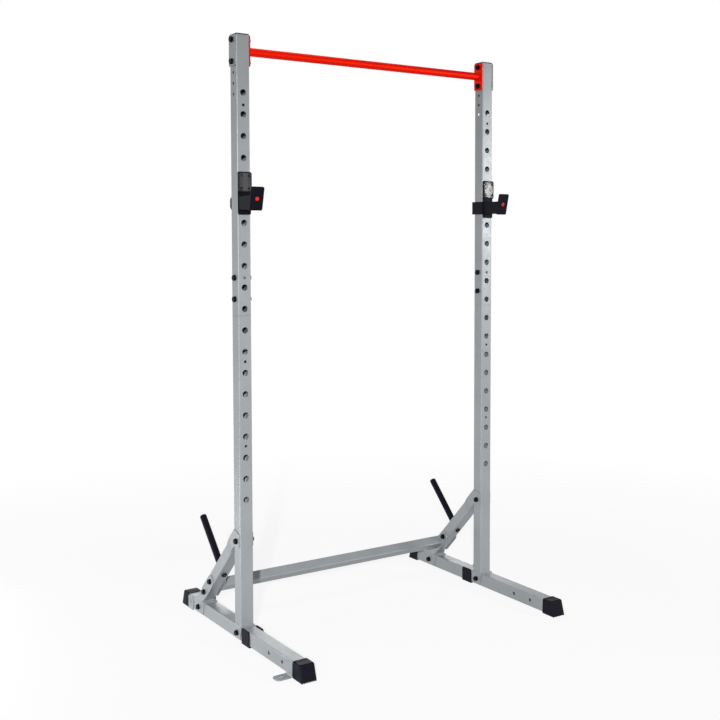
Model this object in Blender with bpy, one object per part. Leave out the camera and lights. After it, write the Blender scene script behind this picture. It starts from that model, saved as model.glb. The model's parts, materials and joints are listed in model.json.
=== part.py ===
"""Power rack: a bolted squat stand with two uprights, a pull-up bar and two bar catches.

The rack stands on two base tubes that run front to back. Each carries a two-piece upright,
a brace at 45 degrees with a plate storage peg, two rubber boots, a rubber pad and two
floor anchor brackets. A crossbar joins the braces low down at the back, and a round
pull-up bar joins the uprights at the top. The bar catches hang on a stub pin in the
upright's front holes, and pull off forwards.

Units are metres. X runs across the rack, -Y is the front where the lifter stands, Z is up,
and the origin is on the floor at the middle of the footprint.
"""
import math

import bmesh
import bpy
from mathutils import Matrix, Vector

# Square tube, sheet and fits
TUBE = 0.050
WALL = 0.002
TUBE_CORNER = 0.004
SHEET = 0.003
PLATE = 0.004
SEAT = 0.0003
SLIP_FIT = 0.0003
CORNER_STEPS = 2

# Layout of the frame
UPRIGHT_SPACING = 1.084
FLOOR_GAP = 0.004
BASE_FRONT = 0.406
BASE_BEHIND_BRACE = 0.093
UPRIGHT_TOP = 2.131
SEAM_HEIGHT = 1.1586

# Holes in the uprights
PIN_HOLE_RADIUS = 0.011
HOLE_PITCH = 0.075
HOLE_COUNT = 20
LOWEST_HOLE = 0.5073
SMALL_HOLE_RADIUS = 0.005
SMALL_HOLE_DROPS = (0.0428, 0.6413, 0.9356, 1.2341)
SIDE_HOLE_COUNT = 3

# Splice between the lower and the upper upright
SPLICE_BELOW = 0.120
SPLICE_ABOVE = 0.155
SPLICE_BOLT_RISE = 0.0575

# Bolts, nuts and washers
BOLT_RADIUS = 0.005
BOLT_CLEARANCE = 0.0003
WASHER_RADIUS = 0.0105
WASHER_THICK = 0.002
HEX_ACROSS_FLATS = 0.017
HEAD_HEIGHT = 0.0065
NUT_HEIGHT = 0.007
NUT_CAP = 0.003
CAP_RADIUS = 0.0055

# Base tube holes, boots, pads and anchor brackets
ANCHOR_HOLES = (-0.234, -0.328)
ANCHOR_HOLE_RADIUS = 0.006
BOOT_TOP_LENGTH = 0.046
BOOT_SOLE_LENGTH = 0.062
BOOT_SKIRT = 0.003
BOOT_SOLE_SPREAD = 0.0015
BOOT_END_WALL = 0.006
BOOT_CORNER = 0.006
PAD_LENGTH = 0.0565
PAD_THICK = 0.004
PAD_TO_SADDLE = 0.0025
PAD_RISE = 0.003
PAD_CORNER = 0.008
BRACKET_WIDTH = 0.042
BRACKET_TO_BOOT = 0.001
BRACKET_LEG_DROP = 0.004
BRACKET_CORNER = 0.004
TAB_REACH = 0.058
TAB_FLOOR_GAP = 0.0005
TAB_TIP_RADIUS = 0.014
SLOT_WIDTH = 0.009
SLOT_LENGTH = 0.018
SLOT_FROM_TIP = 0.022
REAR_SLOT_WIDTH = 0.010
REAR_SLOT_LENGTH = 0.032

# Saddle brackets under the upright and the brace
FOOT_TOP_HALF = 0.034
FOOT_TIP_HALF = 0.020
SADDLE_RISE = 0.004
BRACE_FOOT_SHIFT = 0.0023
BRACE_FOOT_TOP_HALF = 0.049
BRACE_FOOT_TIP_HALF = 0.036
WELD = 0.001

# Brace at 45 degrees behind the upright
BRACE_SIZE = 0.045
BRACE_HEIGHT = 0.386
BRACE_SLOPE = math.radians(45)
EAR_FRONT = 0.020
EAR_DEPTH = 0.048
EAR_BOLT_DROP = 0.028
EAR_FLAT = 0.064
EAR_LAP = 0.120
GUSSET_HEIGHT = 0.016
BLEND_PROUD = 0.0005
EAR_CORNER = 0.004

# Crossbar between the braces
CROSSBAR_FROM_FOOT = 0.100352
CROSSBAR_BELOW = 0.0035
CROSSBAR_SIZE = 0.038
CROSSBAR_CORNER = 0.003
LUG_WIDTH = 0.046
LUG_LENGTH = 0.116
LUG_CORNER = 0.018
LUG_BOLT_SPACING = 0.0745
VENT_RADIUS = 0.006

# Pull-up bar
BAR_DROP = 0.054
BAR_RADIUS = 0.015
BAR_SIDES = 16
BAR_BOLT_SPACING = 0.075
BAR_PLATE_WIDTH = 0.050
BAR_PLATE_HEIGHT = 0.108
BAR_PLATE_CORNER = 0.006

# Storage pegs
PEG_ALONG = 0.2535
PEG_RADIUS = 0.0127
PEG_LENGTH = 0.206
PEG_BLOCK = 0.030
PEG_HEAD_HEIGHT = 0.004
PEG_CAP_HEIGHT = 0.008
PEG_CAP_STEM = 0.015
PEG_SIDES = 12

# Bar catches
CATCH_HOLE = 14
CATCH_PLATE = 0.005
CATCH_WIDTH = 0.049
CATCH_PLATE_UP = 0.1022
CATCH_PLATE_DOWN = 0.0463
CATCH_CORNER = 0.006
ARM_HEIGHT = 0.050
ARM_DROP = 0.0063
ARM_WALL = 0.003
LIP_REACH = 0.0965
LIP_HEIGHT = 0.0825
LIP_DROP = 0.003
LIP_LEAN = math.radians(13.3)
STRAP_SIDE_GAP = 0.0005
STRAP_BEND = 0.008
CATCH_TRAVEL = 0.0075
PIN_RADIUS = 0.0095
PIN_PAST_WALL = 0.005
LINER_WIDTH = 0.0505
LINER_HEIGHT = 0.071
LINER_THICK = 0.006
LINER_BELOW_TOP = 0.0005
LINER_CORNER = 0.008
LINER_EDGE = 0.0015
SCREW_HEAD_RADIUS = 0.003
SCREW_HEAD_HEIGHT = 0.0008
SCREW_INSET_X = 0.010
SCREW_INSET_Z = 0.014
BADGE_RADIUS = 0.0085
BADGE_THICK = 0.001
BADGE_RISE = 0.006

# Plugs in the uprights' tops
PLUG_RIM = 0.004
PLUG_TO_BOLT = 0.0015

# Worked out from the sizes above
BASE_TOP = FLOOR_GAP + TUBE
BASE_MIDDLE = FLOOR_GAP + TUBE / 2
SADDLE_TOP = BASE_TOP + SEAT + SHEET
BRACE_RUN = (BRACE_HEIGHT - SADDLE_TOP) / math.tan(BRACE_SLOPE)
BRACE_FOOT = BRACE_RUN + BRACE_FOOT_SHIFT
BASE_REAR = BRACE_FOOT + BASE_BEHIND_BRACE
CROSSBAR_ALONG = BRACE_RUN / math.cos(BRACE_SLOPE) - CROSSBAR_FROM_FOOT
BAR_HEIGHT = UPRIGHT_TOP - BAR_DROP
TOP_HOLE = LOWEST_HOLE + (HOLE_COUNT - 1) * HOLE_PITCH
BORE = TUBE - 2 * WALL
BOLT_HOLE_RADIUS = BOLT_RADIUS + BOLT_CLEARANCE
FRONT_REACH = BASE_FRONT + BOOT_SOLE_LENGTH
REAR_REACH = BASE_REAR + BOOT_SOLE_LENGTH
UPRIGHT_Y = (FRONT_REACH - REAR_REACH) / 2
EAR_BOTTOM = BRACE_HEIGHT - EAR_DEPTH
EAR_BOLT_HEIGHT = BRACE_HEIGHT - EAR_BOLT_DROP
BRACE_DIRECTION = Vector((0, math.cos(BRACE_SLOPE), -math.sin(BRACE_SLOPE)))
BRACE_NORMAL = Vector((0, math.sin(BRACE_SLOPE), math.cos(BRACE_SLOPE)))
BRACE_START = Vector((0, 0, BRACE_HEIGHT))
PIN_HEIGHT = LOWEST_HOLE + CATCH_HOLE * HOLE_PITCH
X_AXIS = Vector((1, 0, 0))
Y_AXIS = Vector((0, 1, 0))
Z_AXIS = Vector((0, 0, 1))
SIDES = {"left": -1, "right": 1}


def clear_scene():
    """Start from an empty scene."""
    for obj in list(bpy.data.objects):
        bpy.data.objects.remove(obj, do_unlink=True)


def make_material(name, colour, roughness, metallic):
    """A Principled surface in one colour."""
    material = bpy.data.materials.new(name)
    material.use_nodes = True
    shader = material.node_tree.nodes["Principled BSDF"]
    shader.inputs["Base Color"].default_value = (*colour, 1)
    shader.inputs["Roughness"].default_value = roughness
    shader.inputs["Metallic"].default_value = metallic
    material.diffuse_color = (*colour, 1)
    return material


def station(side):
    """Where an upright's centre line meets the floor; each side is modelled around it."""
    return Vector((side * UPRIGHT_SPACING / 2, UPRIGHT_Y, 0))


def new_object(name, vertices, faces, material, location):
    """A mesh object with its faces turned outwards."""
    mesh = bpy.data.meshes.new(name)
    mesh.from_pydata([tuple(v) for v in vertices], [], faces)
    work = bmesh.new()
    work.from_mesh(mesh)
    bmesh.ops.recalc_face_normals(work, faces=work.faces)
    work.to_mesh(mesh)
    work.free()
    if material:
        mesh.materials.append(material)
    obj = bpy.data.objects.new(name, mesh)
    obj.location = location
    bpy.context.scene.collection.objects.link(obj)
    return obj


def shade_round(obj, angle=40):
    """Smooth shading with sharp edges past the angle."""
    obj.data.shade_smooth()
    obj.data.set_sharp_from_angle(angle=math.radians(angle))


def hide_tool(obj):
    """Mark a cutter or an added shape, which isn't a piece by itself."""
    obj.hide_render = True
    obj.display_type = "WIRE"


def combine(target, tool, operation):
    """Boolean the tool into the target, and keep the tool as a hidden guide."""
    hide_tool(tool)
    modifier = target.modifiers.new(tool.name, "BOOLEAN")
    modifier.object = tool
    modifier.operation = operation
    modifier.solver = "EXACT"


def rounded_outline(corners, radius, steps=CORNER_STEPS):
    """A polygon whose corners become arcs; radius is one value or one for each corner."""
    radii = radius if isinstance(radius, (list, tuple)) else [radius] * len(corners)
    points = []
    for i, corner in enumerate(corners):
        corner = Vector(corner)
        back = (Vector(corners[i - 1]) - corner).normalized()
        ahead = (Vector(corners[(i + 1) % len(corners)]) - corner).normalized()
        if radii[i] == 0:
            points.append(tuple(corner))
            continue
        half = back.angle(ahead) / 2
        centre = corner + (back + ahead).normalized() * radii[i] / math.sin(half)
        start = corner + back * radii[i] / math.tan(half) - centre
        end = corner + ahead * radii[i] / math.tan(half) - centre
        first = math.atan2(start.y, start.x)
        turn = math.atan2(start.x * end.y - start.y * end.x, start.dot(end))
        for k in range(steps + 1):
            angle = first + turn * k / steps
            points.append((centre.x + radii[i] * math.cos(angle), centre.y + radii[i] * math.sin(angle)))
    return points


def rectangle(width, height, radius, steps=CORNER_STEPS):
    """A rectangle with round corners about the origin."""
    u, v = width / 2, height / 2
    return rounded_outline([(-u, -v), (u, -v), (u, v), (-u, v)], radius, steps)


def circle(radius, sides):
    """A regular polygon whose corners lie on the circle."""
    return [(radius * math.cos(2 * math.pi * (k + 0.5) / sides),
             radius * math.sin(2 * math.pi * (k + 0.5) / sides)) for k in range(sides)]


def around(radius, sides):
    """A regular polygon whose flats touch the circle, so what fits the circle fits inside."""
    return circle(radius / math.cos(math.pi / sides), sides)


def lift(outline, origin, u_axis, v_axis):
    """Put a flat outline into space."""
    return [Vector(origin) + u * Vector(u_axis) + v * Vector(v_axis) for u, v in outline]


def loft(name, rings, material, location):
    """A closed solid through rings that have the same number of points."""
    count = len(rings[0])
    vertices = [point for ring in rings for point in ring]
    faces = [list(range(count)), list(range(len(vertices) - count, len(vertices)))]
    for level in range(len(rings) - 1):
        for k in range(count):
            low, high = level * count + k, level * count + (k + 1) % count
            faces.append([low, high, high + count, low + count])
    return new_object(name, vertices, faces, material, location)


def slab(name, outline, origin, u_axis, v_axis, depth, material, location):
    """A plate: an outline carried along the depth vector."""
    ring = lift(outline, origin, u_axis, v_axis)
    return loft(name, [ring, [point + Vector(depth) for point in ring]], material, location)


def tube(name, outer, inner, origin, u_axis, v_axis, start, end, material, location):
    """A hollow section along u x v, cut off by a start plane and an end plane.

    A plane is a point on it and its normal. The outer and inner outlines have the same
    number of points, so each end is a ring of four-sided faces."""
    along = Vector(u_axis).cross(Vector(v_axis))
    vertices = []
    for outline in (outer, inner):
        for point, normal in (start, end):
            for corner in lift(outline, origin, u_axis, v_axis):
                travel = (Vector(point) - corner).dot(normal) / along.dot(normal)
                vertices.append(corner + travel * along)
    count = len(outer)
    faces = []
    for k in range(count):
        n = (k + 1) % count
        for low, high in ((0, count), (2 * count, 3 * count), (0, 2 * count), (count, 3 * count)):
            faces.append([low + k, low + n, high + n, high + k])
    return new_object(name, vertices, faces, material, location)


def square_tube(name, origin, u_axis, v_axis, start, end, material, location):
    """A length of the rack's square tube."""
    return tube(name, rectangle(TUBE, TUBE, TUBE_CORNER), rectangle(BORE, BORE, TUBE_CORNER - WALL),
                origin, u_axis, v_axis, start, end, material, location)


def stack(name, rings, material, location, rotation):
    """A solid through rings whose neighbours have equal, half or twice as many points."""
    vertices, faces, starts = [], [], []
    for ring in rings:
        starts.append(len(vertices))
        vertices += ring
    for level in range(len(rings) - 1):
        low, high = starts[level], starts[level + 1]
        few, many = len(rings[level]), len(rings[level + 1])
        if few == many:
            for k in range(few):
                n = (k + 1) % few
                faces.append([low + k, low + n, high + n, high + k])
            continue
        if few > many:
            low, high, few, many = high, low, many, few
        for k in range(few):
            n = (k + 1) % few
            first, middle, last = high + 2 * k, high + 2 * k + 1, high + (2 * k + 2) % many
            faces += [[low + k, first, middle], [low + k, middle, low + n], [low + n, middle, last]]
    faces.append(list(range(starts[1])))
    faces.append(list(range(starts[-1], len(vertices))))
    obj = new_object(name, vertices, faces, material, location)
    obj.rotation_mode = "QUATERNION"
    obj.rotation_quaternion = rotation
    return obj


def ring_at(radius, sides, height):
    """A ring of points at a height on the Z axis, its first point on +X."""
    return [Vector((radius * math.cos(2 * math.pi * k / sides),
                    radius * math.sin(2 * math.pi * k / sides), height)) for k in range(sides)]


def turned_tube(name, profile, sides, material, location, rotation):
    """A ring-shaped solid: a closed profile of (radius, height) turned about Z."""
    vertices = [point for radius, height in profile for point in ring_at(radius, sides, height)]
    faces = []
    for level in range(len(profile)):
        low, high = level * sides, ((level + 1) % len(profile)) * sides
        for k in range(sides):
            n = (k + 1) % sides
            faces.append([low + k, low + n, high + n, high + k])
    obj = new_object(name, vertices, faces, material, location)
    obj.rotation_mode = "QUATERNION"
    obj.rotation_quaternion = rotation
    return obj


def drill(target, name, holes, location):
    """Cut round holes: each is a centre, an axis, a radius, a length and a number of sides."""
    vertices, faces = [], []
    for centre, axis, radius, length, sides in holes:
        axis = Vector(axis).normalized()
        u_axis = axis.orthogonal().normalized()
        v_axis = axis.cross(u_axis)
        first = len(vertices)
        for end in (-length / 2, length / 2):
            vertices += lift(around(radius, sides), Vector(centre) + end * axis, u_axis, v_axis)
        faces.append(list(range(first, first + sides)))
        faces.append(list(range(first + sides, first + 2 * sides)))
        for k in range(sides):
            n = (k + 1) % sides
            faces.append([first + k, first + n, first + sides + n, first + sides + k])
    combine(target, new_object(name, vertices, faces, None, location), "DIFFERENCE")


def channel(name, inside, sheet, levels, material, location):
    """A U of sheet open along Z. Levels run from the web's outer face, its inner face, then
    down the flanges; each is a height with the lowest and highest Y there."""
    out, inn = inside / 2 + sheet, inside / 2
    vertices, faces, index = [], [], {}
    for i, (height, y_low, y_high) in enumerate(levels):
        for x in (-out, out) if i == 0 else (-out, -inn, inn, out):
            for end, y in enumerate((y_low, y_high)):
                index[x, end, i] = len(vertices)
                vertices.append(Vector((x, y, height)))
    faces.append([index[-out, 0, 0], index[out, 0, 0], index[out, 1, 0], index[-out, 1, 0]])
    faces.append([index[-inn, 0, 1], index[inn, 0, 1], index[inn, 1, 1], index[-inn, 1, 1]])
    last = len(levels) - 1
    for end in (0, 1):
        faces.append([index[-out, end, 0], index[out, end, 0], index[out, end, 1],
                      index[inn, end, 1], index[-inn, end, 1], index[-out, end, 1]])
    for side in (-1, 1):
        for i in range(last):
            faces.append([index[side * out, 0, i], index[side * out, 1, i],
                          index[side * out, 1, i + 1], index[side * out, 0, i + 1]])
        for i in range(1, last):
            faces.append([index[side * inn, 0, i], index[side * inn, 1, i],
                          index[side * inn, 1, i + 1], index[side * inn, 0, i + 1]])
            for end in (0, 1):
                faces.append([index[side * out, end, i], index[side * inn, end, i],
                              index[side * inn, end, i + 1], index[side * out, end, i + 1]])
        faces.append([index[side * out, 0, last], index[side * inn, 0, last],
                      index[side * inn, 1, last], index[side * out, 1, last]])
    return new_object(name, vertices, faces, material, location)


def along_brace(distance, across=0.0):
    """A point at a distance down the brace and a height above its centre line."""
    return BRACE_START + distance * BRACE_DIRECTION + across * BRACE_NORMAL


def hex_ring(height):
    """The outline of a bolt head or nut."""
    return ring_at(HEX_ACROSS_FLATS / 2 / math.cos(math.pi / 6), 6, height)


def bolt_head_rings(grip, height):
    """Head and washer above the grip, listed from the top down."""
    under = grip / 2 + SEAT
    return [hex_ring(under + WASHER_THICK + height), hex_ring(under + WASHER_THICK),
            ring_at(WASHER_RADIUS, 12, under + WASHER_THICK), ring_at(WASHER_RADIUS, 12, under)]


def through_bolt(name, middle, axis, grip, material, location):
    """A bolt across a joint: head, two washers and a capped nut on one shank."""
    under = -grip / 2 - SEAT
    nut_top = under - WASHER_THICK - NUT_HEIGHT
    shank = [ring_at(BOLT_RADIUS, 6, grip / 2 + SEAT), ring_at(BOLT_RADIUS, 6, under)]
    nut = [ring_at(WASHER_RADIUS, 12, under), ring_at(WASHER_RADIUS, 12, under - WASHER_THICK),
           hex_ring(under - WASHER_THICK), hex_ring(nut_top), ring_at(CAP_RADIUS, 6, nut_top - NUT_CAP)]
    turn = Z_AXIS.rotation_difference(Vector(axis))
    return stack(name, bolt_head_rings(grip, HEAD_HEIGHT) + shank + nut, material, location + Vector(middle), turn)


def make_base(name, side, paint):
    """Base tube with its two anchor holes and the holes for the foot bolts."""
    place = station(side)
    end_inset = BOOT_TOP_LENGTH - BOOT_END_WALL - SEAT
    start = (Vector((0, -BASE_FRONT - end_inset, 0)), Y_AXIS)
    end = (Vector((0, BASE_REAR + end_inset, 0)), Y_AXIS)
    base = square_tube("base_tube_" + name, Vector((0, 0, BASE_MIDDLE)), Z_AXIS, X_AXIS, start, end,
                       paint, place)
    holes = [(Vector((0, y, BASE_MIDDLE)), X_AXIS, ANCHOR_HOLE_RADIUS, 2 * TUBE, 8) for y in ANCHOR_HOLES]
    holes += [(Vector((0, y, BASE_MIDDLE)), X_AXIS, BOLT_HOLE_RADIUS, 2 * TUBE, 8)
              for y in (0.0, BRACE_FOOT)]
    drill(base, "base_drill_" + name, holes, place)


def make_boot(name, side, front, rubber):
    """Rubber boot over a base tube's end, flared down to its sole."""
    place = station(side)
    facing = -1 if front else 1
    mouth = BASE_FRONT if front else BASE_REAR
    top_half = TUBE / 2 + BOOT_SKIRT
    sole_half = top_half + BOOT_SOLE_SPREAD

    def ring(half, length, height):
        corners = [(-half, mouth), (half, mouth), (half, mouth + length), (-half, mouth + length)]
        outline = rounded_outline(corners, [0.002, 0.002, BOOT_CORNER, BOOT_CORNER])
        return [Vector((x, facing * y, height)) for x, y in outline]

    rings = [ring(sole_half, BOOT_SOLE_LENGTH, 0.0),
             ring(top_half, BOOT_TOP_LENGTH, BASE_TOP + BOOT_SKIRT - 0.002),
             ring(top_half - 0.002, BOOT_TOP_LENGTH - 0.002, BASE_TOP + BOOT_SKIRT)]
    boot = loft("boot_%s_%s" % ("front" if front else "rear", name), rings, rubber, place)
    pocket = TUBE + 2 * SEAT
    depth = BOOT_TOP_LENGTH - BOOT_END_WALL
    socket = slab("%s_socket" % boot.name, rectangle(pocket, pocket, TUBE_CORNER),
                  Vector((0, facing * (mouth - 0.01), BASE_MIDDLE)), X_AXIS, Z_AXIS,
                  Vector((0, facing * (depth + 0.01), 0)), None, place)
    combine(boot, socket, "DIFFERENCE")


def make_pad(name, side, rubber):
    """Rubber pad folded round a base tube beside the upright: in front on the left, behind on
    the right."""
    middle = side * (FOOT_TOP_HALF + PAD_TO_SADDLE + PAD_LENGTH / 2)
    half = PAD_LENGTH / 2
    tip = BASE_TOP + PAD_RISE
    levels = [(0.0, -half, half), (FLOOR_GAP - SEAT, -half, half), (tip - PAD_CORNER, -half, half),
              (tip - 0.3 * PAD_CORNER, 0.3 * PAD_CORNER - half, half - 0.3 * PAD_CORNER),
              (tip, PAD_CORNER - half, half - PAD_CORNER)]
    levels = [(height, low + middle, high + middle) for height, low, high in levels]
    channel("base_pad_" + name, TUBE + 2 * SEAT, PAD_THICK, levels, rubber, station(side))


def make_anchor_bracket(name, side, front, paint):
    """Floor anchor plate on the base tube's outer side. The front one turns out into a slotted
    tab on the floor; the rear one stays flat, with its slot upright."""
    place = station(side)
    facing = -1 if front else 1
    mouth = BASE_FRONT if front else BASE_REAR
    middle = facing * (mouth - BRACKET_TO_BOOT - BRACKET_WIDTH / 2)
    face = TUBE / 2 + SEAT
    half = BRACKET_WIDTH / 2
    leg_outline = rounded_outline([(-half, TAB_FLOOR_GAP), (half, TAB_FLOOR_GAP),
                                   (half, BASE_TOP - BRACKET_LEG_DROP), (-half, BASE_TOP - BRACKET_LEG_DROP)],
                                  [0, 0, BRACKET_CORNER, BRACKET_CORNER])
    kind = "front" if front else "rear"
    bracket = slab("anchor_bracket_%s_%s" % (kind, name), leg_outline, Vector((side * face, middle, 0)),
                   Y_AXIS, Z_AXIS, Vector((side * PLATE, 0, 0)), paint, place)
    if front:
        tip = face + TAB_REACH
        tab_outline = rounded_outline([(face + WELD, -half), (tip, -half), (tip, half), (face + WELD, half)],
                                      [0, TAB_TIP_RADIUS, TAB_TIP_RADIUS, 0], 4)
        tab = slab("%s_tab" % bracket.name, tab_outline, Vector((0, middle, TAB_FLOOR_GAP)), side * X_AXIS,
                   Y_AXIS, Vector((0, 0, PLATE)), None, place)
        combine(bracket, tab, "UNION")
        outline = rectangle(SLOT_LENGTH, SLOT_WIDTH, SLOT_WIDTH * 0.49, 3)
        slot = slab("%s_slot" % bracket.name, outline, Vector((side * (tip - SLOT_FROM_TIP), middle, -TUBE / 2)),
                    X_AXIS, Y_AXIS, Vector((0, 0, TUBE)), None, place)
    else:
        outline = rectangle(REAR_SLOT_WIDTH, REAR_SLOT_LENGTH, REAR_SLOT_WIDTH * 0.49, 3)
        slot = slab("%s_slot" % bracket.name, outline, Vector((0, middle, BASE_MIDDLE)), Y_AXIS, Z_AXIS,
                    Vector((side * TUBE, 0, 0)), None, place)
    combine(bracket, slot, "DIFFERENCE")


def saddle(name, middle, top_half, tip_half, location):
    """Sheet saddle over the base tube, its flanges drawn in towards their tips."""
    inner = BASE_TOP + SEAT
    outer = inner + SHEET
    tip = FLOOR_GAP + SADDLE_RISE

    def half(height):
        return tip_half + (top_half - tip_half) * (height - tip) / (outer - tip)

    levels = [(z, middle - half(z), middle + half(z)) for z in (outer, inner, tip)]
    return channel(name, TUBE + 2 * SEAT, SHEET, levels, None, location)


def front_holes(low, high):
    """Heights of the pin holes between two heights."""
    heights = [LOWEST_HOLE + k * HOLE_PITCH for k in range(HOLE_COUNT)]
    return [z for z in heights if low < z < high]


def drill_upright(upright, name, low, high, side_heights, place):
    """Pin holes through front and rear, small holes in the front, bolt holes through the sides."""
    holes = [(Vector((0, 0, z)), Y_AXIS, PIN_HOLE_RADIUS, 2 * TUBE, 12) for z in front_holes(low, high)]
    small = [TOP_HOLE - drop for drop in SMALL_HOLE_DROPS]
    holes += [(Vector((0, -TUBE / 2, z)), Y_AXIS, SMALL_HOLE_RADIUS, TUBE / 2, 8)
              for z in small if low < z < high]
    drill(upright, "front_drill_" + name, holes, place)
    sides = [(Vector((0, 0, z)), X_AXIS, BOLT_HOLE_RADIUS, 4 * TUBE, 8) for z in side_heights]
    drill(upright, "side_drill_" + name, sides, place)


def splice_bolt_heights():
    """The two splice bolts above the seam."""
    return [SEAM_HEIGHT + SPLICE_BOLT_RISE, SEAM_HEIGHT + SPLICE_BOLT_RISE + HOLE_PITCH]


def bar_bolt_heights():
    """The two bolts of the pull-up bar's plate."""
    return [BAR_HEIGHT - BAR_BOLT_SPACING / 2, BAR_HEIGHT + BAR_BOLT_SPACING / 2]


def make_lower_upright(name, side, paint):
    """Lower upright, welded to the saddle that holds it on the base tube."""
    place = station(side)
    foot = SADDLE_TOP - WELD
    upright = square_tube("lower_upright_" + name, Vector((0, 0, 0)), X_AXIS, Y_AXIS,
                          (Vector((0, 0, foot)), Z_AXIS), (Vector((0, 0, SEAM_HEIGHT)), Z_AXIS), paint, place)
    combine(upright, saddle("upright_saddle_" + name, 0.0, FOOT_TOP_HALF, FOOT_TIP_HALF, place), "UNION")
    drill_upright(upright, "lower_" + name, foot, SEAM_HEIGHT, [BASE_MIDDLE, EAR_BOLT_HEIGHT], place)


def make_upper_upright(name, side, paint):
    """Upper upright, standing on the lower one over the splice tube."""
    place = station(side)
    seam = SEAM_HEIGHT + SEAT
    upright = square_tube("upper_upright_" + name, Vector((0, 0, 0)), X_AXIS, Y_AXIS,
                          (Vector((0, 0, seam)), Z_AXIS), (Vector((0, 0, UPRIGHT_TOP)), Z_AXIS), paint, place)
    spare = [bar_bolt_heights()[0] - (k + 1) * HOLE_PITCH / 2 for k in range(SIDE_HOLE_COUNT)]
    drill_upright(upright, "upper_" + name, seam, UPRIGHT_TOP,
                  splice_bolt_heights() + bar_bolt_heights() + spare, place)


def make_splice_tube(name, side, paint):
    """Inner tube that stands in the lower upright and carries the upper one."""
    place = station(side)
    size = BORE - 2 * SLIP_FIT
    corner = TUBE_CORNER - WALL
    low, high = SEAM_HEIGHT - SPLICE_BELOW, SEAM_HEIGHT + SPLICE_ABOVE
    inner = tube("splice_tube_" + name, rectangle(size, size, corner),
                 rectangle(size - 2 * WALL, size - 2 * WALL, corner / 2), Vector((0, 0, 0)), X_AXIS, Y_AXIS,
                 (Vector((0, 0, low)), Z_AXIS), (Vector((0, 0, high)), Z_AXIS), paint, place)
    holes = [(Vector((0, 0, z)), Y_AXIS, PIN_HOLE_RADIUS, 2 * TUBE, 12)
             for z in front_holes(low + PIN_HOLE_RADIUS, high - PIN_HOLE_RADIUS)]
    drill(inner, "splice_front_drill_" + name, holes, place)
    drill(inner, "splice_side_drill_" + name,
          [(Vector((0, 0, z)), X_AXIS, BOLT_HOLE_RADIUS, 2 * TUBE, 8) for z in splice_bolt_heights()], place)


def make_plug(name, side, plastic):
    """Plastic plug in the upright's open top."""
    stem = BORE - 2 * SLIP_FIT
    corner = TUBE_CORNER - WALL
    rim = UPRIGHT_TOP + SEAT
    low = bar_bolt_heights()[1] + BOLT_RADIUS + PLUG_TO_BOLT
    sizes = [(stem - 0.002, corner, low), (stem, corner, rim),
             (TUBE, TUBE_CORNER, rim), (TUBE, TUBE_CORNER, rim + PLUG_RIM / 2),
             (TUBE - PLUG_RIM, TUBE_CORNER - PLUG_RIM / 2, rim + PLUG_RIM)]
    rings = [[Vector((x, y, z)) for x, y in rectangle(size, size, radius)] for size, radius, z in sizes]
    loft("top_plug_" + name, rings, plastic, station(side))


def folded_plate(name, face, points, panels, location):
    """A sheet beside the middle plane, folded along the lines that its panels share.

    A point is its distance from the middle plane to the outer face, and its Y and Z."""
    vertices = [Vector((face * (x - inset), y, z)) for inset in (0, SHEET) for x, y, z in points]
    count = len(points)
    faces = [[k + shift for k in panel] for shift in (0, count) for panel in panels]
    edges = [(panel[i - 1], panel[i]) for panel in panels for i in range(len(panel))]
    faces += [[a, b, b + count, a + count] for a, b in edges if (b, a) not in edges]
    return new_object(name, vertices, faces, None, location)


def brace_ear(name, face, location):
    """Side plate that reaches over the upright, and is drawn in to the brace's side behind it."""
    half = BRACE_SIZE / 2 - BLEND_PROUD
    edge = math.sqrt(2) * EAR_FRONT
    flat = [(-EAR_FRONT, EAR_BOTTOM), (-EAR_FRONT, BRACE_HEIGHT)]
    upper, lower = along_brace(edge - half, half), along_brace(edge + half, -half)
    flat = rounded_outline([(upper.y, upper.z), (lower.y, lower.z)] + flat, [0, 0, EAR_CORNER, EAR_CORNER])
    wide, narrow = TUBE / 2 + SEAT + SHEET, BRACE_SIZE / 2 + BLEND_PROUD
    points = [(wide, y, z) for y, z in flat]
    for distance, out in ((EAR_FLAT, wide), (EAR_LAP, narrow)):
        for across in (-half, half):
            point = along_brace(distance, across)
            points.append((out, point.y, point.z))
    n = len(flat)
    panels = [[0, n + 1, n] + list(range(1, n)), [n, n + 1, n + 3, n + 2]]
    return folded_plate(name, face, points, panels, location)


def brace_gusset(name, face, location):
    """Lower end of the brace's side, spread out to the saddle."""
    half = BRACE_SIZE / 2 - BLEND_PROUD
    low = SADDLE_TOP - WELD
    points = []
    for height, out in ((low, TUBE / 2 + SEAT + SHEET), (low + GUSSET_HEIGHT, BRACE_SIZE / 2 + BLEND_PROUD)):
        for across in (-half, half):
            middle = (BRACE_HEIGHT - height) / math.tan(BRACE_SLOPE)
            points.append((out - BLEND_PROUD, middle + across / math.sin(BRACE_SLOPE), height))
    return folded_plate(name, face, points, [[0, 1, 3, 2]], location)


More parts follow.
